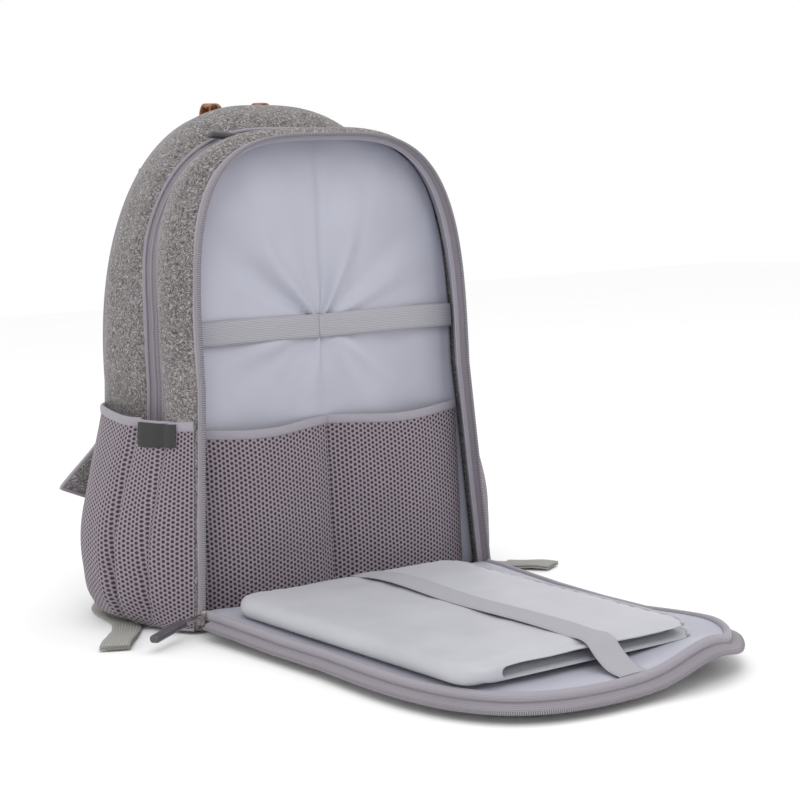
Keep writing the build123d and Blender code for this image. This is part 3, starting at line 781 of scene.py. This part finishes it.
def inner_pockets():
    """Two mesh pockets with bound tops, fuller in the middle, pulled in at their seams."""
    for name, x0, x1 in (("left", -SEAM_X, 0.4), ("right", -0.4, SEAM_X)):
        t = np.linspace(0, 1, 90)[:, None]
        v = np.linspace(0, 1, 60)[None, :]
        dip = 4.0 * np.sin(pi * t) ** 2
        x = x0 + (x1 - x0) * t + 0 * v
        z = POCKET_LOW + (POCKET_TOP - dip - POCKET_LOW) * v
        push = pocket_push(t, v, name == "left")
        push = push + 0.7 * swell(x, z, 45, 31) * np.sin(pi * t) ** 0.5
        y = depth(DIVIDER - 1.6) - push
        grid = np.stack([x, y, z], axis=2)
        item = sheet_mesh("inner_pocket_" + name + "_mesh", grid, 2.2)
        dress(item, "spacer_mesh", "bag", "inner_pocket_" + name)
        top = grid[:, -1]
        path = top + (0, -0.2, 1.6)
        item = swept("inner_pocket_" + name + "_edge", path, oval(8.4, 4.0, 16, 0.75), up=(0, -1, 0))
        dress(item, "binding", "bag", "inner_pocket_binding_" + name)


def elastic_loops():
    """Elastic across the divider, held at both sides and in the middle."""
    for name, x0, x1, bow in (("left", -SEAM_X, 1.0, 6.5), ("right", -1.0, SEAM_X, 10.0)):
        t = np.linspace(0, 1, 70)[:, None]
        v = np.linspace(-1, 1, 8)[None, :]
        x = x0 + (x1 - x0) * t + 0 * v
        ease = np.sin(pi * t) ** 0.7
        z = BAND_Z - 1.5 + v * BAND_WIDTH / 2 + 1.5 * ease
        y = depth(DIVIDER - 3.4) - bow * ease + 0.4 * v ** 2
        grid = np.stack([x, y + 0 * z, z], axis=2)
        item = sheet_mesh("elastic_" + name, grid, 1.5)
        dress(item, "elastic", "bag")
    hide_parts("elastic_band")
    heights = np.linspace(BAND_Z - 11, BAND_Z + 8, 6)
    tack = [[(x, depth(DIVIDER - 5.2), z) for z in heights] for x in (-2.4, 0, 2.4)]
    item = sheet_mesh("elastic_stitching", np.array(tack, float), 1.2)
    dress(item, "elastic", "bag", "elastic_bartack")


def side_pocket_grid(side, rows=110, high=60):
    """Side pocket surface, front seam to back seam, floor to mouth, with soft pleats near its front."""
    line = np.linspace(0, 1, rows)
    t = line[:, None]
    z_line = np.linspace(3.0, SIDE_MOUTH_Z, high)
    v = (z_line / SIDE_MOUTH_Z)[None, :]
    belly = smooth_line([
        (0.0, 16.0), (6.0, 33.0), (20.0, 46.0), (50.0, 55.0), (84.0, 57.0), (130.0, 46.0),
        (SIDE_MOUTH_Z, 32.5),
    ], z_line)[:, 0][None, :]
    plan = smooth_line(SIDE_PLAN, line)
    wall = HALF_SPRING + LEAN * (SPRING - z_line)[None, :]
    seam = 1.8 + 17.0 * t
    out = seam + plan * (belly - seam)
    pleats = 8.0 * bump_at(t, 0.40 + 0.08 * (1 - v), 0.032) + 6.5 * bump_at(t, 0.17 + 0.1 * (1 - v), 0.03)
    ridges = 3.2 * bump_at(t, 0.31 + 0.08 * (1 - v), 0.05) + 2.4 * bump_at(t, 0.53, 0.07)
    fade = np.clip(1.15 - 0.7 * v, 0, 1) * np.clip(v / 0.12, 0, 1)
    x = side * (wall + out + (ridges - pleats) * fade)
    x = x + side * 0.8 * swell(140 * t, z_line[None, :], 60, 41) * np.sin(pi * t) ** 0.5
    lean = 4.0 * (1 - v) * np.sin(pi * t)
    y = depth(1.5) + 149.0 * t + 0 * v - lean * 0.3
    z = z_line[None, :] + v ** 3 * (9.0 * np.clip((t - 0.12) / 0.7, 0, 1) - 2.0 * np.sin(pi * t))
    return np.stack([x, y, z], axis=2)


def side_pockets():
    """Mesh cups with ribbon-bound mouths, and a fine seam along their lower edge."""
    for name, side in (("left", -1), ("right", 1)):
        grid = side_pocket_grid(side)
        item = sheet_mesh("side_pocket_" + name + "_mesh", grid, 2.2)
        dress(item, "spacer_mesh", "bag", "side_pocket_" + name)
        path = grid[:, -1] + (side * 0.2, 0, 2.5)
        item = swept("side_pocket_" + name + "_edge", path, oval(8.6, 3.6, 16, 0.7), up=(side, 0, 0))
        dress(item, "binding", "bag", "side_pocket_binding_" + name)
        seam = grid[:, 0] + (side * 0.6, 0, 1.2)
        dress(swept("side_pocket_" + name + "_seam", seam, circle(1.2, 8)), "binding", "bag")


def side_tag():
    """Blank folded tag below the left pocket's binding."""
    mouth = side_pocket_grid(-1)[:, -1]
    t = np.linspace(0.08, 0.34, 16)
    place = np.linspace(0, 1, len(mouth))
    line = np.stack([np.interp(t, place, mouth[:, axis]) for axis in range(3)], axis=1)
    fall = np.linspace(0, 1, 9)
    rows = []
    for k, point in enumerate(line):
        drop = 18.5 + 2.0 * k / len(line)
        flare = -3.4 - 1.8 * np.sin(fall * pi * 0.6)
        x, y, z = point
        rows.append([(x + f, y - 1.0 * s, z + 4.5 - drop * s) for s, f in zip(fall, flare)])
    item = sheet_mesh("side_tag_cloth", np.array(rows), 1.1)
    dress(item, "tag_fabric", "bag", "side_tag")


# ---------------------------------------------------------------- flap

def laid(line, z):
    """Points (across, along the flap) laid on the floor at the given height, x reversed."""
    line = np.asarray(line, float)
    return np.column_stack([-line[:, 0], FLAP_SHIFT - line[:, 1], np.broadcast_to(z, len(line))])


def flap_wave(x, y):
    """How much the flap's far edge lifts off the floor towards its far right corner."""
    far = np.clip((-y - 330) / 150, 0, 1)
    near = np.clip((y + 210) / 90, 0, 1) * np.clip((np.abs(x) - 90) / 40, 0, 1)
    return far * (14.0 * bump_at(x, 62, 40) + 13.0 * bump_at(x, 128, 24)) + 2.5 * near


def flap_rim_grid(section, low=NOTCH_FROM, count=420):
    """Loops of a section (outward offset, height) along the flap's three free sides."""
    rows = []
    for offset, z in section:
        points = laid(arch(offset, offset, low, count), z)
        points[:, 2] += flap_wave(points[:, 0], points[:, 1])
        rows.append(points)
    return np.stack(rows, axis=1)


def flap_lining():
    """Quilted lining that faces up on the open flap."""
    centre = np.array([0.0, 215.0])
    rows = []
    shares = np.concatenate([np.linspace(0.03, 0.93, 46), [0.96, 0.98, 1.0, 1.0]])
    for index, share in enumerate(shares):
        loop = arch_loop(-3.2, -3.2, FLAP_FOOT + 1.0, 7.0, 320)
        flat = centre + (loop - centre) * share
        z = 17.6 + 1.3 * np.clip((1 - share) / 0.08, 0, 1) - 2.5 * (index == len(shares) - 1)
        points = laid(flat, z)
        points[:, 2] += 0.45 * swell(points[:, 0], points[:, 1], 55, 51) * (share < 0.93)
        points[:, 2] += np.clip((share - 0.6) / 0.4, 0, 1) ** 1.5 * flap_wave(points[:, 0], points[:, 1])
        rows.append(points)
    for share in (0.97, 0.5, 0.03):
        loop = arch_loop(-5.0, -5.0, FLAP_FOOT + 2.0, 7.0, 320)
        flat = centre + (loop - centre) * share
        points = laid(flat, 13.0)
        points[:, 2] += np.clip((share - 0.6) / 0.4, 0, 1) ** 1.5 * flap_wave(points[:, 0], points[:, 1])
        rows.append(points)
    item = loops_to_mesh("flap_lining_cloth", np.array(rows), fan=True)
    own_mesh(dress(item, "lining", "flap", "flap_lining", "flap_foam"))


def flap_outside():
    """Felt outer of the flap, a low dome that rests on the floor."""
    # inset, height, share of the wave
    section = [
        (120.0, 0.5, 0.0), (60.0, 0.5, 0.0), (34.0, 0.6, 0.1), (24.0, 0.8, 0.3), (14.0, 1.8, 0.55),
        (6.0, 3.8, 0.8), (1.5, 7.0, 0.95), (1.0, 10.2, 1.0), (3.6, 12.0, 1.0), (9.0, 12.6, 1.0),
        (34.0, 12.6, 0.6), (70.0, 12.6, 0.2), (120.0, 12.6, 0.0),
    ]
    rows = []
    for inset, z, share in section:
        corner = min(6.0 + 0.25 * inset, 0.5 * (HALF_SPRING - inset))
        loop = arch_loop(-inset, -inset, FLAP_FOOT + 0.25 * inset, corner, 300)
        points = laid(loop, z)
        points[:, 2] += share * flap_wave(points[:, 0], points[:, 1])
        rows.append(points)
    item = loops_to_mesh("flap_outer_felt", np.array(rows), fan=True)
    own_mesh(dress(item, "felt", "flap", "flap_felt"))


def flap_rim():
    """Binding, welt, ribbed zip tape and coil round the open flap."""
    binding = flap_rim_grid([
        (0.2, 13.2), (0.8, 15.5), (0.6, 18.0), (-0.6, 19.6),
        (-2.4, 19.9), (-4.2, 19.0), (-4.8, 17.0), (-3.0, 14.0),
    ], 22.0)
    item = loops_to_mesh("flap_binding_roll", binding)
    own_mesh(dress(item, "binding", "flap", "flap_binding"))
    tape = flap_rim_grid([(-2.6, 12.8), (0.8, 12.3), (3.4, 11.4), (5.6, 10.2), (7.2, 8.6)])
    item = sheet_mesh("flap_zip_tape_cloth", tape, 1.3)
    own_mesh(dress(item, "zip_tape", "flap", "flap_zip_tape"))
    welt = arch(0.4, 0.4, 24.0, 420)
    points = laid(welt, 12.9)
    points[:, 2] += flap_wave(points[:, 0], points[:, 1])
    item = swept("flap_welt", points, circle(0.8, 8), up=(0, 0, 1))
    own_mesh(dress(item, "zip_coil", "flap"))
    line = arch(7.6, 7.6, NOTCH_FROM, 520)
    points = laid(line, 8.0)
    points[:, 2] += flap_wave(points[:, 0], points[:, 1])
    item = swept("flap_zip_coil_teeth", points, circle(1.4, 10), up=(0, 0, 1))
    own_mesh(dress(item, "zip_coil", "flap", "flap_zip_coil"))


def flap_hinge():
    """Fabric that joins the base's front edge to the flap."""
    side_line = spline([
        (depth(3), 8.6), (depth(-2), 8.4), (depth(-7), 10.5), (depth(-13), 13.6), (depth(-18), 15.5),
    ], 14)
    rows = []
    for x in np.linspace(-133, 133, 60):
        rows.append([(x, y, z + 0.4 * sin(x / 9.0) * bump_at(y, depth(-7), 5)) for y, z in side_line])
    item = sheet_mesh("flap_hinge_cloth", np.array(rows), 1.6)
    dress(item, "lining", None, "flap_hinge_strip")
    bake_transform(item)
    side_line = spline([(depth(4), 2.6), (depth(-2), 1.8), (depth(-8), 1.6), (depth(-16), 2.2)], 12)
    rows = [[(x, y, z) for y, z in side_line] for x in np.linspace(-134, 134, 60)]
    item = sheet_mesh("flap_hinge_felt", np.array(rows), 2.4)
    dress(item, "felt", None)
    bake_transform(item)


# ---------------------------------------------------------------- changing mat

def hem(from_edge):
    """Share of the mat's full thickness at a distance from an edge: a flat hem, then the padding."""
    rounded = np.clip(from_edge / 3.0, 0, 1) ** 0.5
    return np.maximum(rounded * (0.36 + 0.64 * np.clip((from_edge - 7.0) / 9.0, 0, 1) ** 0.6), 0.08)


def mat_station(share):
    """Y of the mat at a share of its length, distance from the nearer end, and the corners' cut there."""
    near, far = MAT_ENDS
    end = min(share, 1 - share) * abs(far - near)
    cut = MAT_CORNER - np.sqrt(max(MAT_CORNER ** 2 - max(MAT_CORNER - end, 0) ** 2, 0))
    return near + (far - near) * share, end, cut * 0.8


def mat_section(thin, left, right, y):
    """One turn round the folded mat at a distance along it: two layers joined by a rounded fold."""
    mid_low, mid_high = MAT_LAYERS
    fold = (mid_high - mid_low) / 2
    run = np.linspace(right, left + fold, 60)
    lower = np.column_stack([run, np.full(60, mid_low)])
    turn = np.linspace(-pi / 2, -3 * pi / 2, 12)[1:-1]
    bend = np.column_stack([left + fold + fold * np.cos(turn), mid_low + fold + fold * np.sin(turn)])
    upper = np.column_stack([run[::-1] + np.linspace(0, -MAT_STEP, 60), np.full(60, mid_high)])
    middle = np.vstack([lower, bend, upper])
    along = np.gradient(middle, axis=0)
    along /= np.linalg.norm(along, axis=1, keepdims=True)
    across = np.column_stack([along[:, 1], -along[:, 0]])
    run_length = lengths(middle)
    half = (4.0 * thin * hem(np.minimum(run_length, run_length[-1] - run_length)))[:, None]
    loop = np.vstack([middle - across * half, (middle + across * half)[::-1]])
    return np.column_stack([loop[:, 0], np.full(len(loop), y), loop[:, 1]])


def changing_mat():
    """Padded mat folded once, its left side rounded, its open side towards the right."""
    near, far = MAT_ENDS
    rows = []
    for share in np.linspace(0, 1, 150):
        y, end, cut = mat_station(share)
        left = MAT_SIDES[0] + 14.0 * share + cut
        right = MAT_SIDES[1] - 4.0 * share - cut
        rows.append(mat_section(hem(end), left, right, y))
    grid = np.array(rows)
    x = grid[:, :, 0]
    y = grid[:, :, 1]
    side = MAT_SIDES[1] - x
    quilt = 0.7 * swell(x, y, 60, 61) + 0.35 * swell(x, y, 24, 62)
    band = bump_at(x, MAT_BAND_X, 13.0) ** 2
    pucker = 0.45 * np.sin(x / 2.6) * bump_at(np.minimum(y - far, near - y), 9.0, 5.0)
    pucker = pucker + 0.4 * np.sin(y / 2.8) * bump_at(side, 11.0, 5.0)
    crease = 0.5 * np.sin((x + 0.5 * y) / 16.0) * bump_at(side, 190, 60)
    top = grid[:, :, 2] > MAT_LOW + 12
    grid[:, :, 2] += top * ((quilt - 0.9 * band) * 0.9 + pucker + crease)
    item = loops_to_mesh("changing_mat_pad", grid)
    dress(item, "mat_cover", "changing_mat", "mat_pad", "mat_binding")
    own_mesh(item)
    for name, z, reach in (("lower", MAT_LAYERS[0], 0.0), ("upper", MAT_LAYERS[1], -MAT_STEP)):
        line = []
        for share in np.linspace(0.015, 0.985, 80):
            y, _, cut = mat_station(share)
            line.append((MAT_SIDES[1] - 4.0 * share - cut + reach, y, z))
        item = swept("changing_mat_edge_" + name, line, oval(3.4, 2.4, 10), up=(0, 0, 1))
        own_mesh(dress(item, "mat_trim", "changing_mat"))


def flap_elastic():
    """Elastic over the mat, from the flap's hinge side to its far end."""
    high = MAT_LOW + 18.3
    line = spline([
        (depth(-22), 18.6), (depth(-30), 24), (depth(-40), high - 3),
        (depth(-60), high + 0.2), (depth(-200), high + 0.4),
        (depth(-340), high + 0.2), (depth(-366), high - 1.5), (depth(-375), high - 9), (depth(-388), 22.5),
        (depth(-402), 20.5),
    ], 120)
    rows = []
    for y, z in line:
        rows.append([(MAT_BAND_X + 12.2 * w, y, z - 0.5 * w * w) for w in np.linspace(-1, 1, 9)])
    item = sheet_mesh("flap_elastic_strap", np.array(rows), 1.3)
    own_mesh(dress(item, "elastic", "flap", "mat_elastic"))


# ---------------------------------------------------------------- carrying parts

def handle():
    """Leather handle behind the top, with its tabs and rivets."""
    back = depth(BACK + BACK_PANEL)
    middle = back + 13.2
    points = [
        (-34.4, HANDLE_Z - 1), (-34.6, HANDLE_Z - 18), (-31.5, HANDLE_Z - 32), (-20, HANDLE_Z - 39.4),
        (0, HANDLE_Z - 40.6), (20, HANDLE_Z - 39.4), (31.5, HANDLE_Z - 32), (34.6, HANDLE_Z - 18),
        (34.4, HANDLE_Z - 1),
    ]
    line = spline(points, 90)
    path = np.column_stack([line[:, 0], np.full(len(line), middle), line[:, 1]])
    item = swept("leather_handle", path, oval(3.4, 17.5, 20, 0.45), up=(0, 1, 0))
    dress(item, "leather", "handle", "carry_handle")
    for name, side in (("left", -1), ("right", 1)):
        x = side * 26.0
        line = spline([
            (back + 1.9, 414), (back + 1.9, 436), (back - 0.5, 449), (back - 7, 453.2), (back - 13, 450.0),
        ], 40)
        path = np.column_stack([np.full(len(line), x), line])
        item = swept("handle_tab_" + name, path, oval(16.0, 3.0, 20, 0.45), up=(0, -1, 0.4))
        dress(item, "leather", "bag")
        ring = []
        for turn in np.linspace(0, 2 * pi, 40):
            ring.append((x + 4.6 * cos(turn), back - 14.2, 448.4 + 4.6 * sin(turn)))
        item = swept("handle_rivet_ring_" + name, ring, circle(1.1, 8), up=(0, 1, 0))
        dress(item, "leather", "bag")
    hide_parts("handle_tabs")


def straps():
    """Padded shoulder straps with bound edges and pointed tips, and the felt flaps that cover their tops."""
    back = depth(BACK + BACK_PANEL) + 7.6 + 5.5
    outer = spline(STRAP_OUTER, STRAP_ROWS)
    inner = spline(STRAP_INNER, STRAP_ROWS)
    middle = (outer + inner) / 2
    half = (outer - inner) / 2
    share = np.linspace(0, 1, STRAP_ROWS)
    ends = np.clip(np.minimum(share, 1 - share) / 0.02, 0.1, 1) ** 0.5
    angle = np.linspace(0, 2 * pi, 40, endpoint=False)
    wide = np.sign(np.cos(angle)) * np.abs(np.cos(angle)) ** 0.7
    high = 5.4 * np.sign(np.sin(angle)) * np.abs(np.sin(angle)) ** 0.6
    for name, side in (("left", -1), ("right", 1)):
        rows = []
        for k in range(STRAP_ROWS):
            flat = middle[k] + half[k] * wide[:, None]
            out = smooth_line(STRAP_LIFT, flat[:, 1])[:, 0]
            rows.append(np.column_stack([side * flat[:, 0], back + out + high * ends[k], flat[:, 1]]))
        item = loops_to_mesh("strap_" + name + "_padding", np.array(rows))
        dress(item, "felt", "strap_" + name, "strap_pad_" + name)
        edge = np.vstack([outer[2:], inner[:1:-1]])
        edge = resample(edge, 260)
        out = smooth_line(STRAP_LIFT, edge[:, 1])[:, 0]
        path = np.column_stack([side * edge[:, 0], back + out, edge[:, 1]])
        item = swept("strap_" + name + "_binding", path, oval(3.2, 5.0, 10), up=(0, 1, 0))
        dress(item, "binding", "strap_" + name)
        cover = []
        for u in np.linspace(38, 90, 30):
            drop = 12.0 * ((u - 38) / 52) ** 2
            cover.append([(side * u, y, z) for y, z in (
                (depth(166.5), 410.0 - drop), (depth(169), 409.5 - drop), (back + 1, 407.5 - drop),
                (back + 6.5, 403.5 - 0.6 * drop), (back + 8.2, 398.0 - 0.3 * drop), (back + 7.8, 391.0),
            )])
        item = sheet_mesh("strap_top_cover_" + name, np.array(cover), 2.4)
        dress(item, "felt", "bag")
    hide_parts("strap_anchors")


def lower_webbing():
    """Webbing from the bag's lower corners to the adjusters, and the loops that hold the adjusters."""
    back = depth(BACK + BACK_PANEL)
    hang = spline([
        (back + 2.6, 38), (back + 4.4, 20), (back + 6, 9), (back + 12, 3.4), (back + 22, 3.2),
        (back + 29, 8), (back + 33, 24), (back + 34, 41), (back + 35, 58),
    ], 60)
    loop = [(back + 36.4, 69), (back + 38.2, 74), (back + 37.4, 82), (back + 36.4, 92), (back + 36.0, 100)]
    across = np.linspace(0, 1, 9)
    for name, side in (("left", -1), ("right", 1)):
        rows = [[(side * (98 + 25 * w), y, z) for w in across] for y, z in hang]
        item = sheet_mesh("strap_webbing_" + name + "_band", np.array(rows), 1.6)
        dress(item, "webbing", None, "strap_webbing_" + name)
        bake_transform(item)
        rows = [[(side * (101 + 22 * w + 0.5 * (z - 66)), y, z) for w in across] for y, z in loop]
        item = sheet_mesh("strap_loop_" + name + "_band", np.array(rows), 1.6)
        dress(item, "webbing", "strap_" + name)


def floor_band(line, heights, half_width, side):
    """Grid of flat webbing along a line on the floor, at its height at each point."""
    slope = np.gradient(line, axis=0)
    slope /= np.linalg.norm(slope, axis=1, keepdims=True)
    w = np.linspace(-half_width, half_width, 9)[None, :]
    x = side * (line[:, :1] - slope[:, 1:] * w)
    y = line[:, 1:] + slope[:, :1] * w
    return np.stack([x, y, np.asarray(heights)[:, None] + 0 * w], axis=2)


def free_ends():
    """Free ends of the webbing on the floor, with their folded and sewn tips."""
    line = spline([
        (130.0, depth(BACK + BACK_PANEL) + 42.0), (168.0, depth(150)), (178.0, depth(80)), (224.0, depth(-4)),
    ], 90)
    rise = smooth_line([
        (0, 2.4), (0.25, 1.6), (0.6, 1.6), (0.85, 1.8), (0.95, 3.0), (1.0, 2.2),
    ], np.linspace(0, 1, 90))[:, 0]
    for name, side in (("left", -1), ("right", 1)):
        item = sheet_mesh("strap_tail_" + name + "_band", floor_band(line, rise, 12.4, side), 1.7)
        dress(item, "webbing", "bag", "strap_tail_" + name)
        tip = floor_band(line, rise + 1.9, 12.2, side)[70:]
        item = sheet_mesh("strap_tail_" + name + "_fold", tip, 1.6)
        dress(item, "webbing", "bag")


def webbing_anchors():
    """Felt patches that hold the lower webbing at the bag's corners."""
    back = depth(BACK + BACK_PANEL)
    loop = np.array([(94, 6), (126, 6), (125, 24), (118, 40), (104, 42), (95, 30), (94, 6)], float)
    loop = resample(loop, 61)[:-1]
    centre = loop.mean(axis=0)
    # share of the outline, distance off the back
    section = [(0.05, 3.0), (0.7, 3.0), (0.93, 2.7), (1.0, 1.6), (0.98, 0.3), (0.5, 0.2), (0.05, 0.2)]
    for name, side in (("left", -1), ("right", 1)):
        rows = []
        for share, y in section:
            flat = centre + (loop - centre) * share
            rows.append(np.column_stack([side * flat[:, 0], np.full(60, back + y), flat[:, 1]]))
        item = loops_to_mesh("webbing_anchor_" + name, np.array(rows), fan=True)
        dress(item, "felt", "bag")
    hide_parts("webbing_anchors")


# ---------------------------------------------------------------- hard parts

def hard_parts():
    """Materials and softened edges of the parts that are shown as they are in the frame."""
    for slot, names in HARD_PARTS.items():
        for name in names:
            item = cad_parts[name]
            item.data.materials.clear()
            item.data.materials.append(MATERIALS[slot])
            edges = item.modifiers.new("edges", "BEVEL")
            edges.width = 0.00025
            edges.segments = 2
            edges.limit_method = "ANGLE"


# ---------------------------------------------------------------- stage

def stage():
    """Pale floor, plain light surroundings and soft studio lights."""
    bpy.ops.mesh.primitive_plane_add(size=12.0, location=(0, 0, -0.0002))
    floor = bpy.context.object
    floor.name = "floor"
    shader = Shader("floor_paper", 0.9)
    cloud = shader.noise(shader.place(), 3.0)
    colour = shader.ramp(cloud, [(0.3, grey(0.96)), (0.7, grey(0.975))])
    floor.data.materials.append(shader.finish(colour))
    world = bpy.data.worlds.new("surroundings")
    world.use_nodes = True
    background = world.node_tree.nodes["Background"]
    background.inputs["Color"].default_value = (1, 1, 1, 1)
    background.inputs["Strength"].default_value = 1.0
    bpy.context.scene.world = world
    bpy.context.scene.view_settings.view_transform = "Standard"
    for name, place, size, power in (
        ("key", (-1.0, -2.0, 2.2), 1.2, 16.0),
        ("top", (0.4, -0.3, 2.6), 1.4, 8.0),
    ):
        lamp = bpy.data.lights.new(name, "AREA")
        lamp.size = size
        lamp.energy = power
        item = bpy.data.objects.new(name, lamp)
        item.location = place
        aim = Vector((0, -0.1, 0.15)) - item.location
        item.rotation_euler = aim.to_track_quat("-Z", "Y").to_euler()
        bpy.context.scene.collection.objects.link(item)


def camera():
    level = cos(CAMERA_PITCH)
    forward = Vector((sin(CAMERA_YAW) * level, cos(CAMERA_YAW) * level, -sin(CAMERA_PITCH)))
    right = Vector((cos(CAMERA_YAW), -sin(CAMERA_YAW), 0))
    up = right.cross(forward)
    turned = right * cos(CAMERA_ROLL) + up * sin(CAMERA_ROLL)
    raised = up * cos(CAMERA_ROLL) - right * sin(CAMERA_ROLL)
    lens = bpy.data.cameras.new("camera")
    lens.lens = CAMERA_LENS
    lens.sensor_width = SENSOR
    item = bpy.data.objects.new("camera", lens)
    matrix = Matrix((turned, raised, -forward)).transposed().to_4x4()
    matrix.translation = Vector(CAMERA_AT) * MM
    item.matrix_world = matrix
    bpy.context.scene.collection.objects.link(item)
    bpy.context.scene.camera = item


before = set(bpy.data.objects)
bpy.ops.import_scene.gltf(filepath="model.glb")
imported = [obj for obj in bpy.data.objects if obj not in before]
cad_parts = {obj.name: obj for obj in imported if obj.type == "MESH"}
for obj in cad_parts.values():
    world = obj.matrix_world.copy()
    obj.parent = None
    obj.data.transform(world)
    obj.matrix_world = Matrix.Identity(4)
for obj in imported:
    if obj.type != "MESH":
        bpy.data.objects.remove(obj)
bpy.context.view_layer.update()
MATERIALS.update(build_materials())
camera()
stage()
gussets()
main_zip()
back_side()
base()
front_inside()
front_rim()
inner_pockets()
elastic_loops()
side_pockets()
side_tag()
flap_outside()
flap_lining()
flap_rim()
flap_hinge()
changing_mat()
flap_elastic()
handle()
straps()
lower_webbing()
free_ends()
webbing_anchors()
hard_parts()
